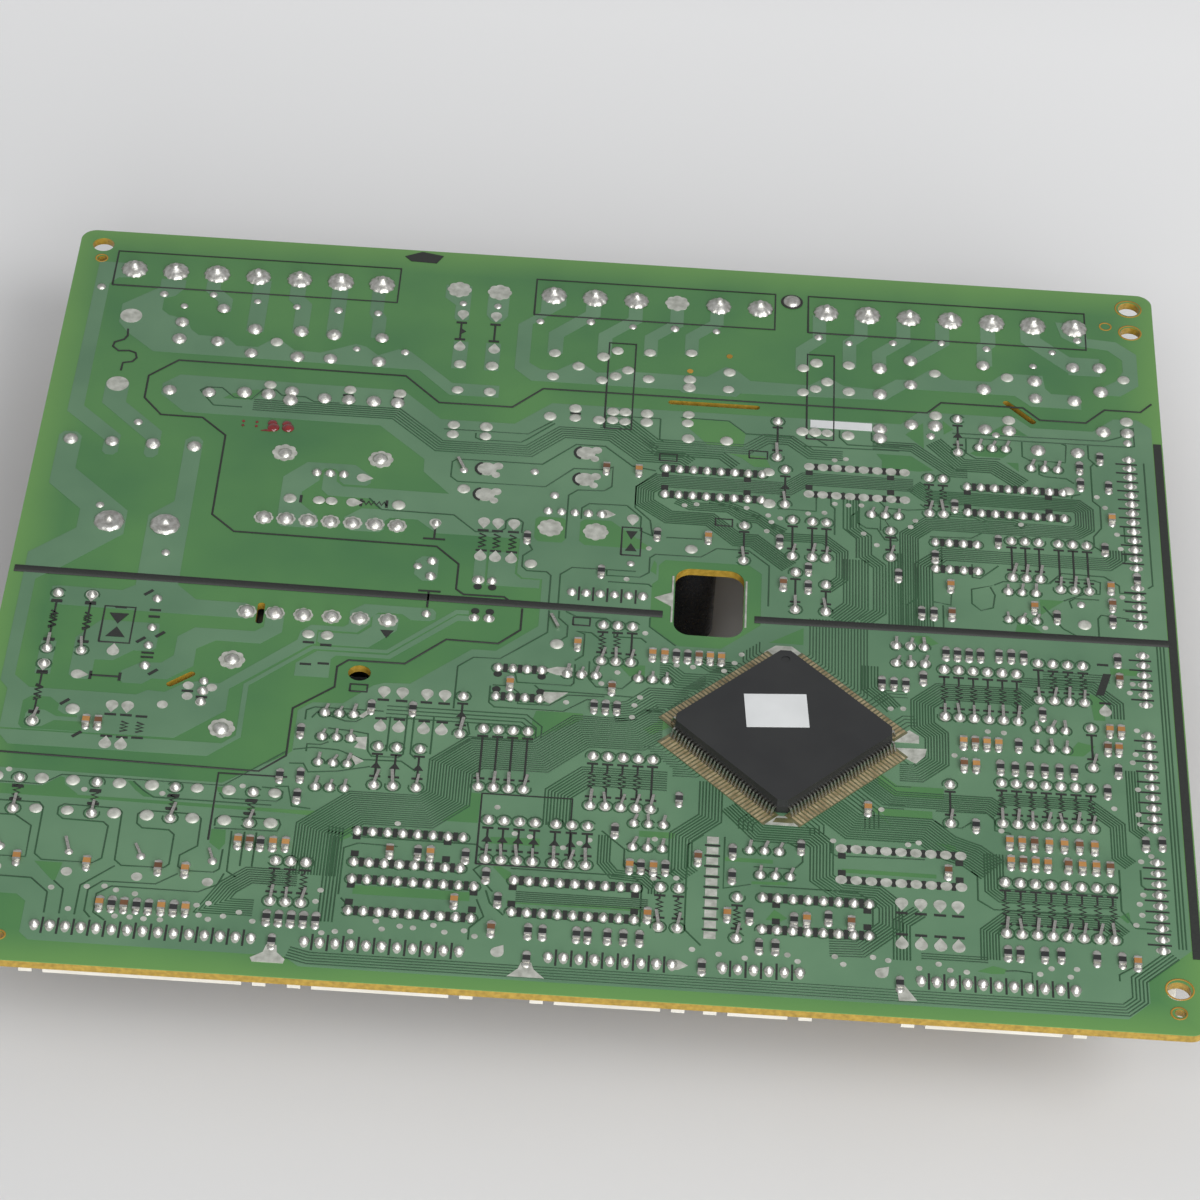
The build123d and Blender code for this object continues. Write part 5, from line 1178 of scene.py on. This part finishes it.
# Every small pad is etched free of the copper round it, and a track leaves it through the ring's opening.
FREED = {"dual_inline_legs": 1.2, "transistor_leads": 1.15, "axial_leads": 1.35, "jumper_wires": 1.35}
opening = random.Random(4)
pad_rings = []
for node, radius in FREED.items():
    for x, y in wire_ends(node):
        start = 45 * opening.randrange(8)
        pad_rings.append(arc(x, y - 0.1, radius, start + 25, start + 335, 10))
laid(strips("pad_rings", pad_rings, FINE_GAP, GAP, gap_mask_and_painted_shade))

# ---------------------------------------------------------------- ink

ISOLATION = [
    [(-86.4, 47), (-86.4, 53.5), (-81.3, 58.6), (-38.3, 58.2), (-31.5, 51), (-17.7, 51), (-12.2, 57),
     (60.3, 57), (63, 60.3), (78.5, 60.3), (81.6, 57), (90.3, 57), (94, 61.2), (100.8, 61.2),
     (103, 63.8)],
    [(-86.4, 47), (-82.8, 42.4), (-75, 42.3), (-70.2, 37.6), (-70.2, 15.3), (-65.8, 11), (-29, 10.4),
     (-24.7, 6), (-24.7, -0.7), (-23.3, -2), (-16, -2), (-15, -3)],
    [(-12.6, -4.8), (-12.6, -10.4), (-16.3, -14.3), (-25.5, -14.1), (-32.3, -21), (-42.2, -21),
     (-44, -22.8), (-44, -28), (-50.7, -34), (-50.7, -45.8), (-55, -50), (-99.7, -49.1)],
]
thin_ink = ISOLATION + [
    # round the power connectors and relays
    frame_path(-96.7, -41.7, 80.2, 90.8), frame_path(-15.2, 31.2, 79.2, 90.2),
    frame_path(37.6, 91.2, 79, 90.2), frame_path(-0.3, 4.8, 46.6, 72), frame_path(37.6, 42.7, 47.2, 72.3),
    # the mark beside the coil terminals
    [(-92, 67), (-91.8, 65), (-92.3, 63.8), (-94, 62.8), (-94.2, 61.5), (-93, 60.3), (-91, 60.5),
     (-89.7, 60), (-89.3, 58.5), (-90, 57.3), (-91.7, 56.8), (-91.8, 54.5)],
    # between the mains side's parts
    frame_path(-86.2, -80.8, -20.3, -11), frame_path(-16.7, -1.3, -68.6, -51.9),
    [(-29.6, 15.4), (-29.6, 12.4)], [(-29.5, -1.7), (-29.5, -6)], [(-28.9, 75.3), (-28.9, 70.2)],
    [(-22.4, 75.3), (-22.4, 70.2)], [(-86.5, -28.9), (-81.4, -28.9)],
    [(-50, -51), (-61.7, -51), (-61.7, -67)],
    frame_path(4.3, 7.8, 11.3, 18.9), frame_path(10.4, 13.6, 38.3, 40.2), frame_path(27, 30.4, 40.6, 42.7),
    frame_path(21.2, 24.3, 21, 22.9), frame_path(-3.4, -0.4, -8.2, -6.2),
    frame_path(-41.3, -38.3, -28.8, -27),
    [(32.2, 51.8), (32.2, 46.4)], [(14.3, -69.4), (9.6, -66)],
]
# Symbols of parts that stand between flat pads: bars beyond each end
SYMBOL_BARS = [
    (-94.9, -10.6), (-88.9, -10.7), (-83.4, -11.1), (-94.9, -20.4), (-88.9, -20.5), (-94.9, -29.1),
    (-94.9, -38.8), (-81.8, -38.4), (-79.1, -38.4), (-76.4, -38.5), (-81.8, -43.8), (-79.1, -43.9),
    (-76.5, -43.8), (-69.3, -31.4), (-66.7, -32.7),
]
SYMBOL_BARS += grid((-20.9, -18.3, -15.4), (15.6, 10.1))
SYMBOL_BARS += [
    (-77.3, -11.3), (-77.3, -13), (-49.6, -17.1), (-46.5, -17.5), (-49.6, -22.7), (-46.5, -22.3),
]
SYMBOL_BARS += grid((-95, -81.9, -68.7, -55.5), (-57.3, -60.2))
SYMBOL_BARS += grid((54.6, 57.8, 61, 64), (-73.7, -78.6))
SYMBOL_BARS += grid((-35.3, -32.1, -27.8, -24.7), (-30.5, -35.2))
SYMBOL_BARS += [
    (-48.6, 51.4), (-39.2, 51.4), (-5.8, 50.3), (90.7, -9.9), (90.7, -19.8), (-28.9, 75.3),
    (-28.9, 70.2), (-22.4, 75.3), (-22.4, 70.2),
]
bars = [bar(x, y, 2.0, 0.5) for x, y in SYMBOL_BARS]
UPRIGHT_BARS = [(-43.6, 21.1), (-38.9, 21.1), (-54.6, 21.1), (-86.5, -28.9), (-81.4, -28.9)]
SLANTED_BARS = [(-79, -6.8), (-75.7, -17.5), (-78.9, -19.2), (-75.8, -27.2), (-90, -36), (-86.9, -43.8)]
bars += [bar(x, y, 0.5, 2.0) for x, y in UPRIGHT_BARS]
bars += [bar(x, y, 2.0, 0.6, 45) for x, y in SLANTED_BARS]
bars += [bar(-77.3, y, 2.2, 0.4) for y in (-22.4, -23.5)]
thin_ink.append([(x, y) for y, x in zigzag(21.1, -43.6, -38.9, 0.5, 10)])
bars += [bar(-29.6, 12.4, 4, 0.4), bar(-29.4, -1.7, 4, 0.4), bar(103.5, -14, 1.5, 132)]
for x, low, high in (
    (-94.9, -17.5, -13), (-88.9, -17.5, -13), (-94.9, -36, -32), (-79.1, -42.5, -40), (-76.4, -42.5, -40),
    (-20.9, 11, 14.7), (-18.3, 11, 14.7), (-15.4, 11, 14.7),
):
    thin_ink.append(zigzag(x, low, high, 0.6))
# Solid marks: diode triangles, the arrow beside the left connector and a rounded tag
solid_marks = [
    [(-85.2, -12.7), (-81.8, -12.7), (-83.5, -15.4)], [(-85.2, -18.8), (-81.8, -18.8), (-83.5, -16.2)],
    [(-37.3, -12.7), (-34.9, -12.7), (-36.1, -14.7)], [(5, 12.5), (7.1, 12.5), (6, 14.6)],
    [(5, 17.9), (7.1, 17.9), (6, 15.6)],
    [(-41.3, 94.8), (-38, 96.5), (-33.8, 95.6), (-35, 93.2), (-40, 93.4)],
    [(89.2, -17.8), (90.6, -17.8), (92.1, -12.2), (90.7, -12.2)],
    [(-28.9, 73.6), (-27.9, 72.7), (-28.9, 71.8)],
]
dots = grid((-20.9, -18.3), (-6.2, 0.3)) + grid((-15.9, -8.2), (-22.1, -26))
solid_marks += [disc(x, y, 0.75) for x, y in dots]
# Corner marks of the in-line packages: left, right, back and front
for left, right, back, front in (
    (11.6, 26.8, 34.3, 30.7), (38.2, 53.3, 37.4, 33.3), (67.5, 82.5, 34.7, 30.7), (-37, -21.7, -64, -68),
    (-37, -16.6, -75.3, -79.2), (-10.2, 10.2, -73.5, -77.3), (33.7, 48.9, -73.7, -77.5),
    (44.6, 64.4, -61.3, -65.3),
):
    bars += [bar(x, y, 1.3, 1.3) for x in (left, right) for y in (back, front)]

# Ink between the pins of in-line packages and of connectors, which keeps solder apart
bars += [bar(x, y, 0.75, 2.1) for x, y, along in in_row(wire_ends("dual_inline_legs")) if along]
for x, y, along in in_row(wire_ends("header_pins")):
    bars.append(bar(x, y - 0.2, 0.35, 3.6) if along else bar(x - 0.5, y, 4.0, 0.35))
# Packages with flat joints: the first leg, the first bar, the pitch, how many legs, and the rows
FLAT_LEGS = [(38.2, 39.46, 2.53, 8, (39.2, 31.4)), (44.5, 45.76, 2.52, 9, (-59.6, -66.9))]
for first_leg, first_bar, pitch, count, rows in FLAT_LEGS:
    bars += [bar(first_bar + pitch * i, y, 0.75, 1.8) for i in range(count - 1) for y in rows]
# A column of oblong pads, from its first pad and its first bar
COLUMN_X = 22.8
COLUMN_PADS = 10
COLUMN_PITCH = 2.44
COLUMN_PAD = -59.6
COLUMN_BAR = -60.8
bars += [bar(COLUMN_X, COLUMN_BAR - COLUMN_PITCH * i, 2.6, 0.4) for i in range(COLUMN_PADS - 1)]

# Every part with two axial leads has a bar beside each joint, a line between them and its symbol.
IN_LINE = 0.7
LONGEST_BODY = 14
SHORTEST_MARKED = 6
BAR_OFF = 2.0
LEAD_BAR = (1.9, 0.45)
lead_ends = wire_ends("axial_leads")
front_ends = []
for node in ("resistors", "power_resistors", "diodes", "ferrite_beads"):
    for points in islands(node):
        x, y = middle(points)
        wide, deep = extents(points)
        if deep < wide:
            continue
        column = [v for u, v in lead_ends if abs(u - x) < IN_LINE and abs(v - y) < LONGEST_BODY]
        back = [v for v in column if v > y]
        front = [v for v in column if v < y]
        if not back or not front:
            continue
        back, front = min(back), max(front)
        front_ends.append((x, front))
        if back - front < SHORTEST_MARKED:
            continue
        bars += [bar(x, v, *LEAD_BAR) for v in (back - BAR_OFF, front + BAR_OFF)]
        if node == "diodes":
            thin_ink.append([(x, back - BAR_OFF), (x, front + BAR_OFF)])
            solid_marks.append([(x - 0.9, y - 0.7), (x + 0.9, y - 0.7), (x, y + 0.8)])
        else:
            teeth = [(x, y + 1.8)] + zigzag(x, y + 1.5, y - 1.5, 0.55) + [(x, y - 1.8)]
            thin_ink.append([(x, back - BAR_OFF)] + teeth + [(x, front + BAR_OFF)])

# Jumper wires have a bar beside each joint and a line between them.
for points in islands("jumper_wires"):
    x, y = middle(points)
    wide, deep = extents(points)
    if deep > wide:
        front_ends.append((x, y - deep / 2 + 0.3))
        reach = deep / 2 - 2.2
        bars += [bar(x, y + side * reach, *LEAD_BAR) for side in (-1, 1)]
        thin_ink.append([(x, y - reach), (x, y + reach)])

laid(strips("thin_ink_lines", thin_ink, 0.36, INK, ink))
stripe = [[(-103.6, -2.5), (12.4, -3.9)], [(28.8, -3.8), (103.6, -3.3)]]
laid(strips("isolation_stripe", stripe, 1.75, INK, ink))
white_tag = bar(44.1, 51.7, 11.6, 2.2)
laid(plates("white_tag", [white_tag], INK, label_paper))
laid(plates("ink_bars", bars + solid_marks, INK, ink))

# ---------------------------------------------------------------- pads without a lead, or with a flat lead

FLAT_DISCS = [
    (-63.5, 65.8), (-63.4, 53), (-48.4, 53), (-39, 52.8), (-28.4, 62.7), (-22.3, 62.7), (-28.3, 55),
    (-22.2, 55), (-28.3, 44.7), (-22.2, 44.7), (-28.3, 42), (-22.2, 42), (-10.6, 67.8), (-10.6, 60.8),
    (-10.5, 49), (-5.9, 64.3), (-5.9, 51.7), (-5.8, 49), (-1.3, 67.6), (-1.3, 60.6), (-1.3, 48.8),
    (1.3, 69.7), (1.2, 62), (1.2, 51.5), (1.2, 49), (3.5, 64), (3.5, 51.6), (3.5, 48.8), (7.5, 69.7),
    (7.5, 61.8), (7.6, 51.5), (7.6, 49), (15.4, 70.4), (22.8, 65.3), (15.3, 62.4), (15.3, 60), (22.7, 60.2),
    (15.3, 49.5), (15.4, 52), (15.5, 45), (22.7, 45), (36.8, 68), (36.8, 60.8), (36.8, 49.2), (39.3, 69.8),
    (39.2, 62), (39.2, 49.2), (41.4, 64.3), (41.5, 49.2), (45.5, 69.7), (45.5, 61.8), (45.4, 48.8),
    (61.9, 68.9), (61.9, 56.3), (75.7, 69), (75.7, 56.3), (98, 70.5), (98, 58), (81, 63), (88.3, 63),
    (-25.2, 26.7), (-11.8, 7.3), (-20.9, 2.1), (17, 14), (30.9, 28), (30.7, 36.9), (86.3, 36.9),
    (-6, -13.5), (87.9, 0.3), (-98.2, 33.9), (-49.8, -15), (-46.5, -15), (-88.4, -37.7),
] + grid((-91.3, -86, -78.1, -72.6, -64.9, -59.5, -51.7), (-55, -62.2))
FLAT_DISCS += [(-99, -55), (-99, -62.2), (-56.6, 21), (-51.3, 21), (-49, 21), (-36.7, 21)]
SMALL_DISCS = [
    (-21, -8), (-18.3, -8), (-1.2, -20.7), (1.3, -20.8), (54, -8), (56.6, -8), (59, -8.2), (54, -12.8),
    (56.7, -12.6), (59.2, -12.4), (-96, -76.2), (-84.2, -76.4), (-72.5, -76.6), (-60.7, -76.8),
    (-69.3, -30), (-66.6, -31.3), (-65.2, -30.2), (-69.2, -32.7), (-66.7, -34), (-73.2, -35.2),
]
TEST_DOTS = [
    (30.8, 24.7), (33, 24.1), (31.4, 22.9), (30.6, 20.3), (38.1, 25.9), (41.1, 26.4), (15.4, 26),
    (17.6, 26.5), (26.8, 26.4), (43, 29.1), (45.5, 28.9), (47.9, 29.1), (42.9, 41.5), (45, 42),
    (48.3, 21.3), (50.7, 18.4), (9.3, 13.5), (5.6, 4.8), (80.8, -1.1), (77.2, 26.6), (57.8, 25.8),
    (56.9, 24), (92.9, 32.8), (91.5, 35.7), (94.8, 25.5), (95.3, 21.6), (95, 8.4), (9.5, -9.2), (15.3, -17),
    (18.2, -17.2), (21.3, -16.2), (23.7, -17.7), (25.5, -15.5), (26.7, -13.2), (2.3, -22.9), (9.2, -25.8),
    (8.3, -27.9), (8, -30.9), (5, -19.8), (53, -24.6), (55.2, -24.4), (69.9, -28.8), (72.7, -28.9),
    (64, -35.3), (91.2, -45.9), (95.5, -40.9), (95.3, -47), (95.8, -14.4), (95.2, -16.7), (96, -26.2),
    (95.5, -32.2), (94.9, -34.3), (-97.1, -53.3), (-83.8, -57), (-70.6, -56.8), (-57.3, -53.8),
    (-86.2, -80.2), (-80.4, -79.5), (-77.5, -79.2), (-75.5, -79.9), (-72.3, -80.5), (-61.9, -82.2),
    (-60, -81.6), (-61.3, -84.4), (-57.3, -84.3), (-59.7, -85.2), (-54.8, -83.2), (-52.4, -85),
    (-82.8, -84.8), (-75, -85.8), (-72.5, -85.8), (-70.2, -86), (-67.5, -86), (-13.9, -55), (-10.6, -61),
    (-8, -61.5), (-2.3, -63.6), (0.4, -62.3), (2, -61.4), (-30.4, -60.4), (-41.9, -77), (-42.5, -79.6),
    (-32.2, -83.2), (-28.2, -84), (-22.7, -83.3), (-26, -84.2), (-31.1, -84.9), (-20.8, -84.7),
    (-17.6, -84.1), (-15.8, -85.2), (-40.9, -86.6), (-38.7, -86.1), (-36.2, -85.9), (13.1, -69.4),
    (16.9, -69), (43.1, -57.9), (20, -85), (24.4, -85.7), (28.7, -86.2), (37.4, -86.2), (35.7, -84.9),
    (43.5, -84.6), (44.9, -86.2), (49.8, -84.2), (52.3, -84.7), (51.3, -49.7), (13, -60.2), (71.7, -53),
    (95.5, -49.3), (95.2, -58.2), (95.2, -66), (94.5, -68.2), (94.8, -70.7), (93.7, -73.1), (97, -56.8),
    (57.6, -57.1), (55.8, -57.7), (60.6, -84.8), (62.5, -86), (65.2, -86.2), (82.3, -85.8), (57.4, -86),
    (77.3, -85.6), (79.2, -84.2), (83.4, -84), (-3.6, -28.2),
]
# Drawn-out pads, as (x, y, where the point turns to in degrees)
DROPS = [
    (-28.8, 78, 270), (-22.4, 78, 270), (-28.8, 67.8, 90), (-22.2, 67.6, 90), (-20.9, 18, 270),
    (-18.3, 18, 270), (-15.4, 18, 270), (-21, 8.4, 90), (-18.3, 8.3, 90), (-15.4, 8.2, 90),
    (-29.7, 16.8, 270), (-88.9, -8.3, 270), (-83.4, -22.5, 90), (-94.9, -26.7, 270), (-88.8, -28.9, 0),
    (-94.9, -41.2, 90), (-81.8, -36, 270), (-79.1, -36, 270), (-81.8, -45.7, 90), (-79.1, -45.8, 90),
    (90.7, -22, 90), (17.5, -88.7, 0), (6.1, 21.4, 270),
]
DROPS += [(x, y, turn) for y, turn in ((-28.2, 270), (-37.3, 90)) for x in (-35.3, -32.1, -27.8, -24.7)]
DROPS += [(x, y, turn) for x in (54.6, 57.8, 61, 64) for y, turn in ((-71.3, 270), (-80.8, 90))]
DROPS += [(-43.9, 28, 0), (-45.2, 21, 0), (1.0, 22.2, 0), (-11.9, -88.4, 60), (51.2, -87.6, 50)]
FLOWERS = [
    (-58.8, 33.7), (-8.8, 17.4), (-0.5, 17.1), (-62.5, -22.8), (-62.4, -40.1), (-41, 33.5), (-30, 85.4),
    (-22.2, 85.3), (12.2, 85.4),
]
# Pads with a rolled lead end beside them, as the middle of each
MITTENS = [(-3.3, 39), (-3.2, 31.5), (-21.3, 32.7), (-21.2, 25.5)]
LONE_DOME = (34.4, 88.1)
TIN_PATCHES = [
    # wedges and solder traps
    [(14, 2), (14, -1.8), (10.8, 0.4)],
    [(-7.6, -20.2), (-5.7, -19.4), (-2.9, -19.4), (-2.9, -21.1), (-3.6, -21.5), (-5.7, -21.4),
     (-7.6, -20.6)],
    [(-7.6, -26), (-3.4, -25.8), (-6.4, -28.8), (-7.8, -28)],
    [(-39.8, -40.3), (-37.3, -40), (-37.3, -43.1), (-39.3, -42.7), (-38.7, -41.5)],
    [(-40, -44.3), (-37.4, -45.9), (-38.7, -47)],
    [(-39.2, -35), (-38.4, -35.4), (-36.4, -32.9), (-37, -32.5)],
    [(-49.6, -90), (-47.9, -90), (-47.7, -91.6), (-46.3, -93), (-46.5, -93.9), (-51.6, -93.9), (-52, -93.1),
     (-50, -91.7)],
    [(-7.8, -90.3), (-6.2, -90.3), (-5.7, -91.8), (-3.9, -93.6), (-10, -93.6), (-8.3, -91.8)],
    [(53.6, -90), (54.9, -90), (57, -93.3), (54, -93.5)],
    # the controller's solder thieves
    [(30.6, -12.2), (32.7, -10.3), (35.6, -10.3), (37.5, -12.2), (36.7, -13.2), (35.3, -12.1), (33, -12.1),
     (31.7, -13.3)],
    [(53.2, -32.9), (56.2, -29.8), (57.9, -31.1), (57.9, -32.9)],
    [(53.6, -34.4), (59.2, -34.2), (58.9, -36), (57.3, -38), (55.2, -36.6)],
    [(31.1, -55), (37.5, -55), (38.2, -54.2), (36.3, -52.8), (32.6, -52.8)],
]
pads = [disc(x, y, 0.95) for x, y in SMALL_DISCS]
pads += [oval(x, y - 0.3, 1.45, 2.5) for x, y in wire_ends("header_pins") if y < -80]
pads += [oval(x, y, 2.5, 1.45) for x, y in wire_ends("header_pins") if x > 90]
pads += [oval(x, y, 1.4, 2.3) for x, y in wire_ends("dual_inline_legs")]
pads += [oval(x, y, 1.5, 1.9) for x, y in wire_ends("transistor_leads", "power_package_leads")]
pads += [oval(x, y - 0.2, 1.9, 2.2) for x, y in wire_ends("axial_leads", "jumper_wires")]
pads += [flower(x, y, 1.8, 8) for x, y in wire_ends("transformer_pins")]
pads += [disc(x, y, 2.1, 20) for x, y in ((-91.9, 71), (-91.9, 50.5))]
pads += [drop(x, y, 1.1, turn) for x, y, turn in DROPS]
pads += [flower(x, y, 2.35) for x, y in FLOWERS]
for x, y in MITTENS:
    pads += [disc(x, y, 1.8), disc(x + 2.0, y + 1.0, 0.95), disc(x + 1.7, y - 1.5, 0.8)]
for first_leg, first_bar, pitch, count, rows in FLAT_LEGS:
    pads += [disc(first_leg + pitch * i, y, 1.0) for i in range(count) for y in rows]
pads += [bar(COLUMN_X, COLUMN_PAD - COLUMN_PITCH * i, 2.0, 1.6) for i in range(COLUMN_PADS)]
laid(plates("flat_pads", pads + TIN_PATCHES, PAD, tinned_pad))
laid(plates("test_dots", [disc(x, y, 0.55, 10) for x, y in TEST_DOTS], PAD - 0.02, tinned_pad))
window_sides = [[(14, 6.4), (14, -5.8)], [(27.2, 6.2), (27.2, -6)]]
laid(strips("tinned_lines", window_sides, 0.35, PAD, tinned_pad))
rings = [arc(x - 0.3, y, 1.75, 110, 250, 10) for x, y in MITTENS] + [arc(*LONE_DOME, 1.9, 0, 360, 20)]
laid(strips("lead_rings", rings, 0.45, PAD + 0.04, ink))
PINHOLES = [(22.7, 70.2), (15.3, 65)]
laid(plates("pinholes", [disc(x, y, 0.6, 10) for x, y in PINHOLES], BARE + 0.03, amber_edge))

# Rosin lies between the controller's pads and in the front solder thief.
FILM_HALF = 13.2
FILM_INNER = PAD_INNER - 0.5
FILM_OUTER = PAD_OUTER + 0.1
FILM_HEIGHT = 0.145
film_corners = [
    (-FILM_HALF, FILM_INNER), (FILM_HALF, FILM_INNER), (FILM_HALF, FILM_OUTER), (-FILM_HALF, FILM_OUTER),
]
films = [[controller_point(side, *corner) for corner in film_corners] for side in range(4)]
films.append([(32.8, -54.4), (36.4, -54.4), (35.6, -53.3), (33.4, -53.3)])
laid(plates("rosin_films", films, FILM_HEIGHT, rosin))
controller_pad = blocks("controller_pad", [(0, 0, 0.02, 0.45, PAD_OUTER - PAD_INNER, 0.16)])
controller_pads = []
for side in range(4):
    for number in range(LEADS_A_SIDE):
        along = (number - (LEADS_A_SIDE - 1) / 2) * LEAD_PITCH
        x, y = controller_point(side, along, (PAD_OUTER + PAD_INNER) / 2)
        controller_pads.append((x, y, TOP, math.radians(90 * side - 45)))
laid(scatter("controller_joints", controller_pads, controller_pad, fluxed_pad))

# ---------------------------------------------------------------- spare joints and bent-over leads

FILTER_JOINTS = [(-96, -71.5), (-84.4, -71.8), (-72.4, -71.8), (-60.4, -71.9)]
SPARE_JOINTS = [
    (-98.7, 79.3), (-86.5, 78.3), (-82.2, 75), (-77, 79), (-68.4, 77.8), (-60.7, 76.9), (-52.7, 76.6),
    (-45.1, 76.5), (-29, 81.2), (-22.3, 81), (-13.9, 77.2), (-4.2, 78), (3.9, 77.3), (12, 77.5),
    (20, 77.5), (39.7, 77.7), (45.5, 76.5), (54, 77.4), (63.3, 78.3), (72, 77.4), (84.6, 77.6),
    (89.6, 81.7), (80.8, 73), (-86.7, 39.8), (-90.7, 15.9), (-77.3, 4.1), (-32, 4.8), (60.9, 50.2),
    (73.2, 51.8), (98, 51.8),
] + FILTER_JOINTS
SPARE_JOINTS += [
    (-25.5, 32), (-48.2, 65.3), (-39, 65.2), (6.2, 9.1), (87.5, 5.7), (-8.5, 26.5), (-12.5, 32.8),
]
flat_joint = turned("flat_joint", [(1.2, 0.05), (1.12, 0.2), (0.75, 0.36), (0.3, 0.42), (0, 0.42)], 14)
flat_places = stand(FLAT_DISCS)
laid(scatter("flat_joints", flat_places, flat_joint, tinned_pad, size_spread=0.06, lean=0.06, seed=20))
dome_joint = turned("dome_joint", [(1.75, 0.02), (1.6, 0.4), (1.1, 0.75), (0.5, 0.9), (0, 0.95)], 18)
laid(scatter("dome_joint_on_ring", stand([LONE_DOME]), dome_joint, solder))
low_joint = turned("low_joint", [(0.85, 0.02), (0.75, 0.2), (0.45, 0.4), (0.2, 0.55), (0, 0.6)], 10)
bent_lead = blocks("bent_lead", [(0, 1.5, 0.1, 0.5, 3.0, 0.5), (0, 2.9, 0.14, 0.44, 0.5, 0.36)])
laid(scatter("spare_joints", stand(SPARE_JOINTS), low_joint, solder, size_spread=0.1, lean=0.08, seed=21))
swing = random.Random(8)
leads = [(x, y, TOP, swing.uniform(-0.25, 0.15)) for x, y in front_ends]
SKEW_LEADS = FILTER_JOINTS + [(-25.5, 32), (-6, -9.3)]
leads += [(x, y, TOP, swing.uniform(0.2, 0.7)) for x, y in SKEW_LEADS]
short_lead = blocks("short_lead", [(0, 0.9, 0.1, 0.5, 1.8, 0.5)])
short_leads = [(x, y, TOP, swing.uniform(-0.4, 0.1)) for x, y in wire_ends("transistor_leads")]
for name, places, lead, unevenness, seed in (
    ("short_bent_leads", short_leads, short_lead, 0.15, 24),
    ("bent_leads", leads, bent_lead, 0.12, 22),
):
    laid(scatter(name, places, lead, tinned_wire, size_spread=unevenness, lean=0.03, seed=seed))
lacquer_drop = turned("lacquer_drop", [(1.0, 0.02), (0.9, 0.25), (0.55, 0.42), (0, 0.5)], 14)
lacquered = stand([(-61.9, 41.9), (-61.6, 40.7), (-59.2, 41.9), (-58.9, 40.8)])
laid(scatter("locking_lacquer", lacquered, lacquer_drop, lacquer, size_spread=0.2, seed=23))
lacquer_marks = [disc(x, y, 0.28, 8) for x in (-67.3, -64.8) for y in (42, 40.8)]
lacquer_marks.append([(-63.9, 39.6), (-63, 40), (-61.8, 40), (-62, 39.5)])
laid(plates("lacquer_marks", lacquer_marks, PAD, lacquer))
templates += [short_lead, controller_pad, flat_joint, dome_joint, low_joint, bent_lead, lacquer_drop]

# Fixing holes show an amber rim where the mask stops.
RIMS = [
    (-99.8, 88.3, 1.1), (99.9, 92.6, 2.5), (99.9, 85.2, 2.15), (95.2, 86.7, 1.1), (100.2, -87, 2.3),
    (99.8, -92.3, 1.3), (-93.2, -91.5, 1.0),
]
rim_paths = [arc(x, y, radius, 0, 360, 24) for x, y, radius in RIMS]
laid(strips("hole_rims", rim_paths, 0.3, COPPER + 0.02, amber_edge))

for template in templates:
    bpy.data.objects.remove(template)

# ---------------------------------------------------------------- stage, light and camera


def stage_material():
    """Pale matt tabletop, with painted light that makes it paler towards the back."""
    material, tree, place = start_material("pale_tabletop")
    cloud = noise(tree, place, 300)
    back = add_node(tree, "ShaderNodeSeparateXYZ", {"Vector": place}).outputs["Y"]
    # A little paler towards the back: painted light, where more light falls on the table
    colour = blend(tree, back, linear("DADADA"), linear("FFFFFF"), -0.13, 0.22)
    finish_material(tree, colour, spread(tree, cloud, 0.7, 0.8))
    return material


TABLE_REACH = 3000
TABLE_BACK = 6000
table_corners = [
    (-TABLE_REACH, -TABLE_REACH, 0), (TABLE_REACH, -TABLE_REACH, 0), (TABLE_REACH, TABLE_BACK, 0),
    (-TABLE_REACH, TABLE_BACK, 0),
]
table = mesh_object("tabletop", table_corners, [(0, 1, 2, 3)], stage_material())


def lamp(name, place_mm, aim_mm, size_mm, watts):
    """A square area lamp that faces a point."""
    data = bpy.data.lights.new(name, "AREA")
    data.shape = "SQUARE"
    data.size = size_mm * MM
    data.energy = watts
    thing = linked(name, data)
    place = Vector(place_mm) * MM
    aim = Vector(aim_mm) * MM
    thing.location = place
    thing.rotation_euler = (aim - place).to_track_quat("-Z", "Y").to_euler()


lamp("key_lamp", (750, -650, 1050), (0, 60, 20), 700, 7.8)
lamp("front_lamp", (-230, -930, 1000), (0, -40, 10), 600, 3.5)
lamp("low_lamp", (260, -1250, 500), (0, -80, 0), 900, 12)

world = bpy.data.worlds.new("studio")
bpy.context.scene.world = world
world.use_nodes = True
world.node_tree.nodes.clear()
# Shiny things see a brighter room than the light that it gives.
ROOM_LIGHT = 0.345
SEEN_IN_SHINE = 0.22
glossy_ray = add_node(world.node_tree, "ShaderNodeLightPath").outputs["Is Glossy Ray"]
shares = {0: glossy_ray, 1: SEEN_IN_SHINE, 2: ROOM_LIGHT}
strength = add_node(world.node_tree, "ShaderNodeMath", shares, operation="MULTIPLY_ADD").outputs[0]
sky = add_node(world.node_tree, "ShaderNodeBackground", {"Color": linear("F2F3F5"), "Strength": strength})
add_node(world.node_tree, "ShaderNodeOutputWorld", {"Surface": sky.outputs[0]})

camera_data = bpy.data.cameras.new("camera")
camera_data.sensor_width = 36
camera_data.lens = 129.56
camera = linked("camera", camera_data)
camera_right = Vector((0.99797, 0.04481, 0.04519))
camera_up = Vector((-0.06358, 0.67065, 0.73904))
camera_forward = Vector((-0.00281, 0.74042, -0.67214))
camera_place = Vector((3.267, -572.521, 518.694 + TOP)) * MM
camera_turn = Matrix((camera_right, camera_up, -camera_forward)).transposed()
camera.matrix_world = Matrix.Translation(camera_place) @ camera_turn.to_4x4()
bpy.context.scene.camera = camera
bpy.context.scene.view_settings.view_transform = "Standard"
